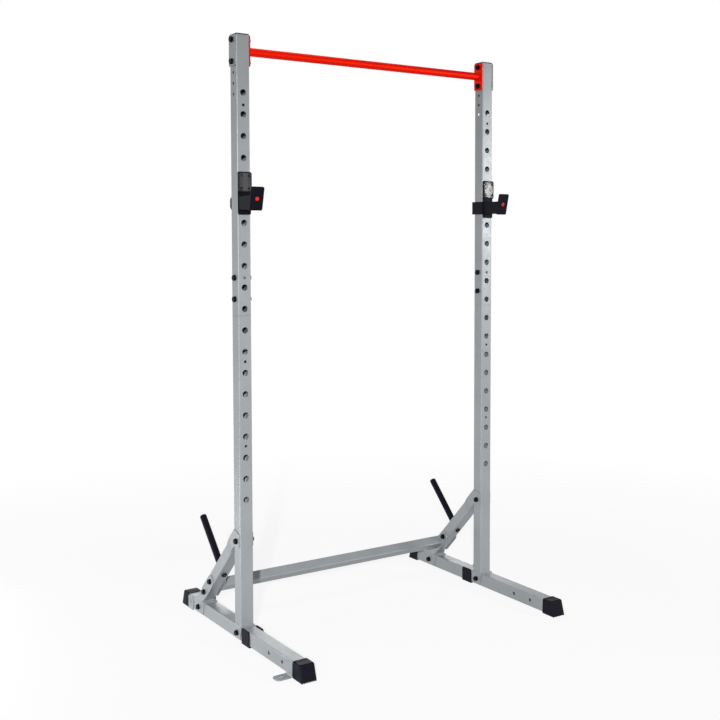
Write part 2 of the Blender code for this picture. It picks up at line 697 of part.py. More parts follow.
def make_brace(name, side, paint):
    """Brace with ears round the upright at its top and a saddle over the base at its foot."""
    place = station(side)
    foot = SADDLE_TOP - WELD
    bore = BRACE_SIZE - 2 * WALL
    brace = tube("brace_" + name, rectangle(BRACE_SIZE, BRACE_SIZE, TUBE_CORNER),
                 rectangle(bore, bore, TUBE_CORNER - WALL), BRACE_START, X_AXIS, BRACE_NORMAL,
                 (Vector((0, TUBE / 2 + SEAT, 0)), Y_AXIS), (Vector((0, 0, foot)), Z_AXIS), paint, place)
    for face in (-1, 1):
        combine(brace, brace_ear("brace_ear_%s_%d" % (name, face), face, place), "UNION")
        combine(brace, brace_gusset("brace_gusset_%s_%d" % (name, face), face, place), "UNION")
    combine(brace, saddle("brace_saddle_" + name, BRACE_FOOT, BRACE_FOOT_TOP_HALF, BRACE_FOOT_TIP_HALF, place),
            "UNION")
    upright_space = slab("brace_notch_" + name, rectangle(TUBE + 2 * SEAT, TUBE + 2 * SEAT, 0, 1),
                         Vector((0, 0, EAR_BOTTOM - TUBE)), X_AXIS, Y_AXIS, Vector((0, 0, 2.5 * TUBE)),
                         None, place)
    combine(brace, upright_space, "DIFFERENCE")
    sides = [Vector((0, 0, EAR_BOLT_HEIGHT)), Vector((0, BRACE_FOOT, BASE_MIDDLE))] + lug_bolt_places()
    holes = [(point, X_AXIS, BOLT_HOLE_RADIUS, 2 * TUBE, 8) for point in sides]
    drill(brace, "brace_drill_" + name, holes, place)
    drill(brace, "brace_peg_drill_" + name,
          [(along_brace(PEG_ALONG), BRACE_NORMAL, BOLT_HOLE_RADIUS, 2 * TUBE, 8)], place)


def lug_bolt_places():
    """The crossbar's two bolts through the brace."""
    half = LUG_BOLT_SPACING / 2
    return [along_brace(CROSSBAR_ALONG + shift, -CROSSBAR_BELOW) for shift in (-half, half)]


def lug(name, face, thick, material, location):
    """Plate against a brace's side, with its long way down the brace."""
    centre = along_brace(CROSSBAR_ALONG, -CROSSBAR_BELOW) + face * X_AXIS
    return slab(name, rectangle(LUG_WIDTH, LUG_LENGTH, LUG_CORNER, 3), centre, BRACE_NORMAL, BRACE_DIRECTION,
                Vector((thick, 0, 0)), material, location)


def make_crossbar(paint):
    """Square crossbar between the braces, with a lug at each end."""
    middle = along_brace(CROSSBAR_ALONG, -CROSSBAR_BELOW)
    centre = middle + Vector((0, UPRIGHT_Y, 0))
    reach = UPRIGHT_SPACING / 2 - BRACE_SIZE / 2 - SEAT
    bar = tube("crossbar", rectangle(CROSSBAR_SIZE, CROSSBAR_SIZE, CROSSBAR_CORNER),
               rectangle(CROSSBAR_SIZE - 2 * WALL, CROSSBAR_SIZE - 2 * WALL, CROSSBAR_CORNER - WALL),
               centre, BRACE_DIRECTION, -BRACE_NORMAL, (Vector((-reach + PLATE - WELD, 0, 0)), X_AXIS),
               (Vector((reach - PLATE + WELD, 0, 0)), X_AXIS), paint, Vector((0, 0, 0)))
    for name, side in SIDES.items():
        place = station(side)
        end = lug("crossbar_lug_" + name, -side * (BRACE_SIZE / 2 + SEAT), -side * PLATE, None, place)
        combine(bar, end, "UNION")
        holes = [(point - side * X_AXIS * TUBE / 2, X_AXIS, BOLT_HOLE_RADIUS, TUBE, 8)
                 for point in lug_bolt_places()]
        holes.append((middle - side * X_AXIS * TUBE / 2, X_AXIS, VENT_RADIUS, TUBE, 8))
        drill(bar, "crossbar_drill_" + name, holes, place)


def make_lug_backing(name, side, paint):
    """Backing plate for the crossbar's bolts on the brace's outer side."""
    place = station(side)
    plate = lug("crossbar_backing_" + name, side * (BRACE_SIZE / 2 + SEAT), side * PLATE, paint, place)
    drill(plate, "lug_backing_drill_" + name,
          [(point, X_AXIS, BOLT_HOLE_RADIUS, 2 * TUBE, 8) for point in lug_bolt_places()], place)


def bar_plate(name, face, thick, material, location):
    """Plate on an upright's side behind or in front of the pull-up bar's bolts."""
    return slab(name, rectangle(BAR_PLATE_WIDTH, BAR_PLATE_HEIGHT, BAR_PLATE_CORNER),
                Vector((face, 0, BAR_HEIGHT)), Y_AXIS, Z_AXIS, Vector((thick, 0, 0)), material, location)


def make_pull_up_bar(paint):
    """Round bar between the uprights with a bolted plate at each end."""
    reach = UPRIGHT_SPACING / 2 - TUBE / 2 - SEAT - PLATE + WELD
    bar = tube("pull_up_bar", circle(BAR_RADIUS, BAR_SIDES), circle(BAR_RADIUS - WALL, BAR_SIDES),
               Vector((0, UPRIGHT_Y, BAR_HEIGHT)), Y_AXIS, Z_AXIS, (Vector((-reach, 0, 0)), X_AXIS),
               (Vector((reach, 0, 0)), X_AXIS), paint, Vector((0, 0, 0)))
    for name, side in SIDES.items():
        place = station(side)
        end = bar_plate("bar_plate_" + name, -side * (TUBE / 2 + SEAT), -side * PLATE, None, place)
        combine(bar, end, "UNION")
        holes = [(Vector((-side * TUBE / 2, 0, z)), X_AXIS, BOLT_HOLE_RADIUS, TUBE, 8)
                 for z in bar_bolt_heights()]
        holes.append((Vector((-side * TUBE / 2, 0, BAR_HEIGHT)), X_AXIS, VENT_RADIUS, TUBE, 8))
        drill(bar, "bar_drill_" + name, holes, place)
    shade_round(bar)


def make_bar_backing(name, side, paint):
    """Backing plate for the pull-up bar's bolts on the upright's outer side."""
    place = station(side)
    plate = bar_plate("bar_backing_" + name, side * (TUBE / 2 + SEAT), side * PLATE, paint, place)
    drill(plate, "bar_backing_drill_" + name,
          [(Vector((0, 0, z)), X_AXIS, BOLT_HOLE_RADIUS, 2 * TUBE, 8) for z in bar_bolt_heights()], place)


def make_storage_peg(name, side, paint, plastic, steel):
    """Plate storage peg square to the brace, the bolt that holds it, and its end cap."""
    place = station(side)
    turn = Z_AXIS.rotation_difference(BRACE_NORMAL)
    seat = along_brace(PEG_ALONG, BRACE_SIZE / 2 + SEAT)
    bore = PEG_RADIUS - WALL
    profile = [(PEG_RADIUS, 0), (PEG_RADIUS, PEG_LENGTH), (bore, PEG_LENGTH), (bore, PEG_BLOCK),
               (BOLT_HOLE_RADIUS / math.cos(math.pi / PEG_SIDES), PEG_BLOCK),
               (BOLT_HOLE_RADIUS / math.cos(math.pi / PEG_SIDES), 0)]
    peg = turned_tube("storage_peg_" + name, profile, PEG_SIDES, paint, place + seat, turn)
    shade_round(peg)
    stem = bore - SLIP_FIT
    dome = PEG_LENGTH + SEAT
    rings = [ring_at(stem, PEG_SIDES, PEG_LENGTH - PEG_CAP_STEM), ring_at(stem, PEG_SIDES, dome),
             ring_at(PEG_RADIUS, PEG_SIDES, dome), ring_at(PEG_RADIUS, PEG_SIDES, dome + PEG_CAP_HEIGHT / 4),
             ring_at(PEG_RADIUS * 0.85, PEG_SIDES, dome + PEG_CAP_HEIGHT * 0.7),
             ring_at(PEG_RADIUS * 0.5, PEG_SIDES, dome + PEG_CAP_HEIGHT)]
    cap = stack("peg_cap_" + name, rings, plastic, place + seat, turn)
    shade_round(cap)
    back = Z_AXIS.rotation_difference(-BRACE_NORMAL)
    end = -BRACE_SIZE / 2 - SEAT - PEG_BLOCK + WELD
    rings = bolt_head_rings(BRACE_SIZE, PEG_HEAD_HEIGHT)
    rings += [ring_at(BOLT_RADIUS, 6, BRACE_SIZE / 2 + SEAT), ring_at(BOLT_RADIUS, 6, end)]
    stack("peg_bolt_" + name, rings, steel, place + along_brace(PEG_ALONG), back)


def make_catch(name, side, paint, liner_material, badge_material):
    """Bar catch: front plate with a stub pin, boxed arm, leaning lip and a strap round the
    upright, with a liner on the plate. The strap leaves the travel free behind the upright."""
    place = station(side)
    pin = Vector((0, 0, PIN_HEIGHT))
    axis_empty = bpy.data.objects.new("catch_axis_" + name, None)
    axis_empty.location = place + pin
    bpy.context.scene.collection.objects.link(axis_empty)

    back = -TUBE / 2 - SEAT
    front = back - CATCH_PLATE
    half = CATCH_WIDTH / 2
    plate_outline = rounded_outline([(-half, -CATCH_PLATE_DOWN), (half, -CATCH_PLATE_DOWN),
                                     (half, CATCH_PLATE_UP), (-half, CATCH_PLATE_UP)], CATCH_CORNER)
    frame = slab("catch_frame_" + name, plate_outline, pin + Vector((0, back, 0)), X_AXIS, Z_AXIS,
                 Vector((0, front - back, 0)), paint, place)

    arm_middle = PIN_HEIGHT - ARM_DROP
    lip_normal = Vector((0, -math.cos(LIP_LEAN), -math.sin(LIP_LEAN)))
    lip_up = Vector((0, -math.sin(LIP_LEAN), math.cos(LIP_LEAN)))
    lip_face = Vector((0, -TUBE / 2 - LIP_REACH, arm_middle))
    lip_back = lip_face - CATCH_PLATE * lip_normal
    arm = tube("arm_" + name, rectangle(CATCH_WIDTH - 0.001, ARM_HEIGHT, TUBE_CORNER),
               rectangle(CATCH_WIDTH - 0.001 - 2 * ARM_WALL, ARM_HEIGHT - 2 * ARM_WALL, TUBE_CORNER / 4),
               Vector((0, 0, arm_middle)), X_AXIS, Z_AXIS,
               (Vector((0, front + WELD, 0)), Y_AXIS), (lip_back + WELD * lip_normal, lip_normal), None, place)
    combine(frame, arm, "UNION")

    low = -(ARM_HEIGHT / 2 + LIP_DROP) / math.cos(LIP_LEAN)
    lip_outline = rounded_outline([(-half, low), (half, low), (half, low + LIP_HEIGHT),
                                   (-half, low + LIP_HEIGHT)], CATCH_CORNER)
    lip = slab("lip_" + name, lip_outline, lip_face, X_AXIS, lip_up, -CATCH_PLATE * lip_normal, None, place)
    combine(frame, lip, "UNION")

    inner = TUBE / 2 + STRAP_SIDE_GAP
    outer = inner + CATCH_PLATE
    rear = TUBE / 2 + SEAT + CATCH_TRAVEL + SEAT
    end = -TUBE / 2 + WALL
    corners = [(half - 0.004, back), (half - 0.004, front), (outer, front), (outer, rear + CATCH_PLATE),
               (end, rear + CATCH_PLATE), (end, rear), (inner, rear), (inner, back)]
    outline = rounded_outline(corners, [0, 0, 0.004, STRAP_BEND, 0, 0, 0.003, 0])
    strap = slab("strap_" + name, outline, Vector((0, 0, arm_middle - ARM_HEIGHT / 2)), -side * X_AXIS, Y_AXIS,
                 Vector((0, 0, ARM_HEIGHT)), None, place)
    combine(frame, strap, "UNION")

    pin_end = -TUBE / 2 + WALL + PIN_PAST_WALL
    stub = slab("pin_" + name, circle(PIN_RADIUS, 12), pin + Vector((0, back - WELD, 0)), X_AXIS, Z_AXIS,
                Vector((0, pin_end - back + WELD, 0)), None, place)
    combine(frame, stub, "UNION")
    drill(frame, "vent_" + name,
          [(Vector((0, (front + lip_back.y) / 2, arm_middle - ARM_HEIGHT / 2)), Z_AXIS,
            VENT_RADIUS / 2, ARM_WALL * 3, 8)], place)

    top = PIN_HEIGHT + CATCH_PLATE_UP - LINER_BELOW_TOP
    liner_middle = top - LINER_HEIGHT / 2
    depths = [(0, 0), (LINER_EDGE - LINER_THICK, 0), (-LINER_THICK, -LINER_EDGE)]
    rings = [[Vector((x, front - SEAT + depth, liner_middle + z))
              for x, z in rectangle(LINER_WIDTH + 2 * grow, LINER_HEIGHT + 2 * grow, LINER_CORNER + grow)]
             for depth, grow in depths]
    liner = loft("catch_liner_" + name, rings, liner_material, place)
    for k, (u, v) in enumerate(((-1, -1), (1, -1), (1, 1), (-1, 1))):
        spot = Vector((u * (LINER_WIDTH / 2 - SCREW_INSET_X), front - SEAT - LINER_THICK + WELD,
                       liner_middle + v * (LINER_HEIGHT / 2 - SCREW_INSET_Z)))
        head = slab("liner_screw_%s_%d" % (name, k), circle(SCREW_HEAD_RADIUS, 6), spot, X_AXIS, Z_AXIS,
                    Vector((0, -WELD - SCREW_HEAD_HEIGHT, 0)), None, place)
        combine(liner, head, "UNION")

    badge_at = lip_face + SEAT * lip_normal + (PIN_HEIGHT + BADGE_RISE - arm_middle) * lip_up
    badge = slab("catch_badge_" + name, circle(BADGE_RADIUS, 12), badge_at, X_AXIS, lip_up,
                 BADGE_THICK * lip_normal, badge_material, place)

    for piece in (frame, liner, badge):
        piece.data.transform(Matrix.Translation(-pin))
        piece.parent = axis_empty
        piece.location = (0, 0, 0)


def make_bolts(name, side, steel):
    """The through bolts of one side."""
    place = station(side)
    saddle_grip = TUBE + 2 * (SEAT + SHEET)
    plate_grip = TUBE + 2 * (SEAT + PLATE)
    lug_grip = BRACE_SIZE + 2 * (SEAT + PLATE)
    outward = side * X_AXIS
    through_bolt("foot_bolt_" + name, Vector((0, 0, BASE_MIDDLE)), outward, saddle_grip, steel, place)
    through_bolt("brace_foot_bolt_" + name, Vector((0, BRACE_FOOT, BASE_MIDDLE)), outward, saddle_grip,
                 steel, place)
    through_bolt("brace_top_bolt_" + name, Vector((0, 0, EAR_BOLT_HEIGHT)), outward, saddle_grip, steel, place)
    for k, height in enumerate(splice_bolt_heights()):
        through_bolt("splice_bolt_%s_%d" % (name, k + 1), Vector((0, 0, height)), outward, TUBE, steel, place)
    for k, height in enumerate(bar_bolt_heights()):
        through_bolt("bar_bolt_%s_%d" % (name, k + 1), Vector((0, 0, height)), outward, plate_grip, steel, place)
    for k, point in enumerate(lug_bolt_places()):
        through_bolt("crossbar_bolt_%s_%d" % (name, k + 1), point, outward, lug_grip, steel, place)


def main():
    clear_scene()
    silver = make_material("silver_paint", (0.42, 0.44, 0.46), 0.45, 0.35)
    red = make_material("red_paint", (0.80, 0.05, 0.02), 0.35, 0.0)
    black = make_material("black_paint", (0.02, 0.02, 0.03), 0.45, 0.0)
    rubber = make_material("black_rubber", (0.02, 0.02, 0.022), 0.7, 0.0)
    plastic = make_material("black_plastic", (0.03, 0.03, 0.035), 0.5, 0.0)
    smoke = make_material("smoked_plastic", (0.12, 0.12, 0.14), 0.15, 0.0)
    dot_red = make_material("badge_red", (0.85, 0.06, 0.03), 0.3, 0.0)
    steel = make_material("black_steel", (0.02, 0.02, 0.025), 0.35, 0.5)
    for name, side in SIDES.items():
        make_base(name, side, silver)
        for front in (True, False):
            make_boot(name, side, front, rubber)
            make_anchor_bracket(name, side, front, silver)
        make_pad(name, side, rubber)
        make_lower_upright(name, side, silver)
        make_splice_tube(name, side, silver)
        make_upper_upright(name, side, silver)
        make_plug(name, side, plastic)
        make_brace(name, side, silver)
        make_lug_backing(name, side, silver)
        make_bar_backing(name, side, silver)
        make_storage_peg(name, side, black, plastic, steel)
        make_catch(name, side, black, smoke, dot_red)
        make_bolts(name, side, steel)
    make_crossbar(silver)
    make_pull_up_bar(red)


main()
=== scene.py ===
# %% [markdown]
# # Dressing a power rack
# A power rack is a steel frame that holds a barbell: two upright tubes full of holes, feet with
# rubber boots, braces, a pull-up bar and a pair of catches. Its solids are already there, at their
# real size. This lesson puts a finely made surface over each of them, paints it, and lights it in a
# plain white studio. Places and sizes come from the solids' own corners wherever they can, so that
# each surface lands where its solid is.

import json
import math

import bmesh
import bpy
import numpy as np
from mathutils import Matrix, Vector


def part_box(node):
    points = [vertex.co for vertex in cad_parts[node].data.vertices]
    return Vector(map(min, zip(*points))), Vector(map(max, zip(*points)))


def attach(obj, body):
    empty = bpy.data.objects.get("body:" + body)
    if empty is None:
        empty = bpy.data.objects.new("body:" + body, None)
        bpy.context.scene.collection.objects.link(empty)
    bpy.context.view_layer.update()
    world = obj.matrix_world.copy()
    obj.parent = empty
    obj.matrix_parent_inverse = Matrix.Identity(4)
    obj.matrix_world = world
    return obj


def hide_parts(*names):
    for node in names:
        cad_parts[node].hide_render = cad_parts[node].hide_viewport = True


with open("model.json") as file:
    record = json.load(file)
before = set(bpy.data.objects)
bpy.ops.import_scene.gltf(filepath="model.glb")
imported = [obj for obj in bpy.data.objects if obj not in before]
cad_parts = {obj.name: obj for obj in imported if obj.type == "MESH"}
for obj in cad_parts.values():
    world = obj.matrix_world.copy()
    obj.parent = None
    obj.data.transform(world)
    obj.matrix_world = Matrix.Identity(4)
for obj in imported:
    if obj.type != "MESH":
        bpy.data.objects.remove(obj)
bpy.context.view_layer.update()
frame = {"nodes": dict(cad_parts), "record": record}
SIDES = {"left": -1, "right": 1}
X, Y, Z = np.eye(3)


def corners(node):
    """Lowest and highest corner of a solid, as the two rows of an array."""
    return np.array(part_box(node), float)


UPRIGHT_LOW, UPRIGHT_HIGH = corners("upper_upright_right")
TUBE = UPRIGHT_HIGH[0] - UPRIGHT_LOW[0]
UPRIGHT_X, UPRIGHT_Y, _ = (UPRIGHT_LOW + UPRIGHT_HIGH) / 2
FOOT = {side: side * UPRIGHT_X * X + UPRIGHT_Y * Y for side in SIDES.values()}
print("tube %.1f mm, uprights %.1f mm apart" % (TUBE * 1000, 2000 * UPRIGHT_X))

# %% [markdown]
# ## The camera
# The photograph looks at the rack from the left and from chest height, with a lens that is a
# little long. A camera is a place, a direction and a focal length. Here the focal length is given
# in pixels of a square picture, because that is how it was worked out from the straight edges of
# the tubes; the sensor's width turns it into millimetres. The small shift slides the picture
# without tilting the camera, so that upright tubes stay upright.

# %% Camera
PICTURE_WIDTH = 720
FOCAL_PIXELS = 1085.5
SENSOR_WIDTH = 36
EYE = (-2.2388, -3.4621, 1.4269)
YAW, PITCH = math.radians(34.649), math.radians(3.160)
SHIFT_X, SHIFT_Y = -0.06, -0.085


def aim(thing, place, direction):
    """Put a camera or a lamp in its place and turn it to look along a direction."""
    bpy.context.scene.collection.objects.link(thing)
    thing.location = place
    thing.rotation_mode = "QUATERNION"
    thing.rotation_quaternion = Vector(direction).to_track_quat("-Z", "Y")


camera = bpy.data.objects.new("camera", bpy.data.cameras.new("camera"))
aim(camera, EYE, (math.sin(YAW) * math.cos(PITCH), math.cos(YAW) * math.cos(PITCH), -math.sin(PITCH)))
bpy.context.scene.camera = camera
camera.data.sensor_width = SENSOR_WIDTH
camera.data.lens = FOCAL_PIXELS / PICTURE_WIDTH * SENSOR_WIDTH
camera.data.shift_x, camera.data.shift_y = SHIFT_X, SHIFT_Y
print("lens %.1f mm" % camera.data.lens)

# %% [markdown]
# ## Writing shaders as sums
# A material is a little program made of nodes. Wiring it by hand is slow to read, so we wrap a
# node's output in a class whose plus, minus and times add Math nodes. Every other kind of node
# comes from one method, which takes the node's type, its settings and its inputs.


# %% A value that varies over a surface
def plug(socket, value):
    """Link a socket to a field, or set it to a plain value; a colour gets its fourth number."""
    if isinstance(value, Field):
        value.tree.links.new(value.socket, socket)
    else:
        socket.default_value = (*value, 1) if socket.type == "RGBA" else value


class Field:
    """The output of a shader node, which can be added to, multiplied and fed to other nodes."""

    def __init__(self, tree, socket=None):
        self.tree, self.socket = tree, socket

    def node(self, kind, settings=(), inputs=(), output=0):
        """Add a node: its settings first, then the value or link of each input it names."""
        node = self.tree.nodes.new(kind)
        for name, value in dict(settings).items():
            setattr(node, name, value)
        for name, value in dict(inputs).items():
            plug(node.inputs[name], value)
        return Field(self.tree, node.outputs[output])

    def sum(self, operation, other):
        """A Math node on this field and another field or value."""
        return self.node("ShaderNodeMath", {"operation": operation}, {0: self, 1: other})

    def __add__(self, other):
        return self.sum("ADD", other)

    def __sub__(self, other):
        return self.sum("SUBTRACT", other)

    def __mul__(self, other):
        return self.sum("MULTIPLY", other)

    def size(self):
        """The field without its sign."""
        return self.sum("ABSOLUTE", 0.0)

    def between(self, low, high, new_low=0.0, new_high=1.0):
        """The field's range low to high stretched onto a new range, and held there."""
        return self.node("ShaderNodeMapRange", (), {"Value": self, "From Min": low, "From Max": high,
                                                    "To Min": new_low, "To Max": new_high})

    def blend(self, first, second):
        """One colour where the field is 0 and another where it is 1."""
        return self.node("ShaderNodeMix", {"data_type": "RGBA"},
                         {"Factor": self, 6: first, 7: second}, output=2)


def new_material(name):
    """An empty Principled material: its shader node, and a field at the surface's own place."""
    material = bpy.data.materials.new(name)
    material.use_nodes = True
    place = Field(material.node_tree).node("ShaderNodeTexCoord", output=3)
    return material, material.node_tree.nodes["Principled BSDF"], place


def noise(place, size, detail=2.0, roughness=0.5):
    """Cloudy noise from 0 to 1 whose lumps are about as wide as size, in metres."""
    return place.node("ShaderNodeTexNoise", (), {"Vector": place, "Scale": 1 / size, "Detail": detail,
                                                 "Roughness": roughness})


def surface(shader, colour, roughness, height=None, depth=0.0, **constants):
    """Plug a colour, a roughness and a bump height into a shader; depth is the bump's, in metres."""
    plug(shader.inputs["Base Color"], colour)
    plug(shader.inputs["Roughness"], roughness)
    if height:
        bump = height.node("ShaderNodeBump", (), {"Strength": 1.0, "Distance": depth, "Height": height})
        plug(shader.inputs["Normal"], bump)
    for name, value in constants.items():
        plug(shader.inputs[name.replace("_", " ")], value)


print("shader words ready")

# %% [markdown]
# ## Powder coat
# The frame is sprayed with powder that melts into one skin. It has a fine orange-peel ripple, a
# faint metallic sparkle, and is a touch uneven in tone. A photograph could be wrapped round the
# tubes, but three layers of noise at their real sizes look right from any distance: ripples a few
# millimetres wide, flakes of about one, and clouds of tone as wide as a hand. The spray hardly
# reaches into a tube, so its inside is duller. The sleeve in each upright and the inside of each base
# tube are nearly bare steel, and their dark colour is also painted shade for what the holes show.

# %% Powder coat
CLOUD_WIDTH, PATCH_WIDTH, WAVE_WIDTH, RIPPLE_WIDTH, FLAKE_WIDTH = 0.12, 0.03, 0.006, 0.0016, 0.0009
CLOUD_DARK, CLOUD_LIGHT, FLAKE_LIGHT = 0.955, 1.04, 1.35
PEEL_DEPTH, ROUGH_SPREAD = 0.00006, 0.035


def powder_coat(name, colour, rough, flake=0.0, metallic=0.0, shine=0.5):
    """Sprayed paint: tone clouds and flakes in the colour, an orange-peel ripple in the bump."""
    material, shader, place = new_material(name)
    dark, light, bright = [tuple(k * c for c in colour) for k in (CLOUD_DARK, CLOUD_LIGHT, FLAKE_LIGHT)]
    tone = noise(place, CLOUD_WIDTH, 3.0).between(0.35, 0.65).blend(dark, light)
    flakes = noise(place, FLAKE_WIDTH, 0.0).between(0.55, 0.75)
    tint = (flakes * flake).blend(tone, bright)
    peel = noise(place, RIPPLE_WIDTH, 1.0) * 0.7 + noise(place, WAVE_WIDTH, 1.0) * 0.3
    uneven = noise(place, PATCH_WIDTH).between(0.3, 0.7, rough - ROUGH_SPREAD, rough + ROUGH_SPREAD)
    surface(shader, tint, uneven, peel, PEEL_DEPTH, Metallic=metallic, Specular_IOR_Level=shine)
    return material


SILVER = powder_coat("silver_paint", (0.318, 0.340, 0.358), rough=0.38, flake=0.35, metallic=0.25)
RED = powder_coat("red_paint", (1.0, 0.0135, 0.0002), rough=0.42, metallic=0.38, shine=0.06)
BLACK = powder_coat("black_paint", (0.0050, 0.0046, 0.0098), rough=0.45, flake=0.10, shine=0.07)
INSIDE = powder_coat("tube_inside", (0.310, 0.325, 0.338), rough=0.60, flake=0.10, shine=0.2)
# Nearly bare steel, made dark enough to also be painted shade inside the tubes behind the holes.
BARE_STEEL_AND_SHADE = powder_coat("bare_steel_and_shade", (0.140, 0.145, 0.152), rough=0.60, flake=0.10, shine=0.2)
print("painted:", [paint.name for paint in (SILVER, RED, BLACK, INSIDE, BARE_STEEL_AND_SHADE)])

# %% [markdown]
# ## Rubber, plastic and blackened steel
# Moulded rubber is matt and finely pitted, with bloom in patches; the caps and plugs are a smoother
# plastic with a spark-eroded grain. One function makes both, since only the sizes differ. The bolts
# are nearly black and mottled, with a dull shine. The liner on each catch is smoked plastic, polished
# and a little wavy, so that a lamp's reflection breaks up in it. It also has a painted highlight: it
# is paler in a band down its middle.

# %% Rubber, plastic and blackened steel
BLOOM_WIDTH, MOTTLE_WIDTH, TURNING_WIDTH = 0.022, 0.004, 0.0007
# Painted highlight on the liner: full close to the upright's middle plane, gone at the far distance.
HIGHLIGHT_BAND_NEAR, HIGHLIGHT_BAND_FAR = 0.004, 0.014
DENT_WIDTH, DENT_DEPTH = 0.010, 0.0013


def moulded(name, colour, bloom, rough, grain, depth, shine):
    """Moulded rubber or plastic: a pitted grain and a paler bloom in patches."""
    material, shader, place = new_material(name)
    patches = noise(place, BLOOM_WIDTH, 4.0, 0.6).between(0.42, 0.72)
    pits = noise(place, grain, 2.0, 0.6)
    surface(shader, patches.blend(colour, bloom), patches.between(0.0, 1.0, rough, rough + 0.10), pits, depth,
            Specular_IOR_Level=shine)
    return material


def blackened(name, colour, rough):
    """Blackened steel: a dark mottled film over fine turning marks."""
    material, shader, place = new_material(name)
    mottle = noise(place, MOTTLE_WIDTH, 4.0, 0.6)
    surface(shader, mottle.blend(colour, tuple(1.9 * c for c in colour)),
            mottle.between(0.3, 0.7, rough - 0.06, rough + 0.08), noise(place, TURNING_WIDTH, 1.0), 0.00003,
            Specular_IOR_Level=0.09)
    return material


def smoked(name):
    """Polished smoked plastic with soft dents, and a painted highlight: paler in an upright band down the
    middle.

    The highlight band follows how far a point's distance from the middle plane is from the upright's."""
    material, shader, place = new_material(name)
    across = place.node("ShaderNodeSeparateXYZ", (), {0: place}).size() - UPRIGHT_X
    # Painted highlight: the paler colour near the upright's middle plane, broken up by noise.
    mix = across.size().between(HIGHLIGHT_BAND_NEAR, HIGHLIGHT_BAND_FAR) + noise(place, 0.02, 3.0) * 0.5 - 0.25
    scuffs = noise(place, 0.008, 5.0, 0.7).between(0.45, 0.8, 0.13, 0.24)
    surface(shader, mix.blend((0.062, 0.062, 0.070), (0.034, 0.034, 0.041)), scuffs,
            noise(place, DENT_WIDTH, 3.0), DENT_DEPTH, Specular_IOR_Level=0.5)
    return material


def dot_paint(name):
    """Plain red plastic disc with a smooth face."""
    material, shader, place = new_material(name)
    tint = noise(place, 0.006).blend((0.80, 0.022, 0.010), (0.88, 0.034, 0.016))
    surface(shader, tint, noise(place, 0.004).between(0.3, 0.7, 0.25, 0.35), noise(place, 0.001), 0.00002,
            Specular_IOR_Level=0.3)
    return material


RUBBER = moulded("black_rubber", (0.0052, 0.0048, 0.0105), (0.0076, 0.0072, 0.0136), rough=0.45,
                 grain=0.0011, depth=0.00010, shine=0.08)
PLASTIC = moulded("black_plastic", (0.0070, 0.0068, 0.0120), (0.0105, 0.0100, 0.0165), rough=0.42,
                  grain=0.0007, depth=0.00005, shine=0.14)
STEEL = blackened("black_steel", (0.0022, 0.0021, 0.0036), rough=0.34)
SMOKE = smoked("smoked_plastic")
DOT = dot_paint("badge_red")
FINISH = {"silver_paint": SILVER, "red_paint": RED, "black_paint": BLACK, "black_rubber": RUBBER,
          "black_plastic": PLASTIC, "smoked_plastic": SMOKE, "badge_red": DOT, "black_steel": STEEL}
SLOT_OF = {part["node"]: part["material_slot"] for part in frame["record"]["subparts"]}
BODY_OF = {node: body for body, nodes in frame["record"]["behaviour"]["bodies"].items() for node in nodes}
# The sleeves get the dark bare steel, whose colour also paints shade into the holes in front of them.
for node, slot in SLOT_OF.items():
    materials = frame["nodes"][node].data.materials
    materials.clear()
    materials.append(BARE_STEEL_AND_SHADE if node.startswith("splice_tube") else FINISH[slot])
print(len(FINISH), "finishes for", len(SLOT_OF), "solids")

# %% [markdown]
# ## A workbench for surfaces
# Each piece is a set of surfaces worked out as arrays: a grid of points whose neighbours are
# joined by four-sided faces. A `Shape` collects grids and flat caps, welds the points that
# coincide, turns the faces outwards, and makes the Blender object. Sheet metal is drawn as one
# skin only; a Solidify modifier then gives the wall, and a Bevel breaks every sharp edge by the
# fraction of a millimetre that lets it catch the light.

# %% Shape
SHARP = math.radians(40)


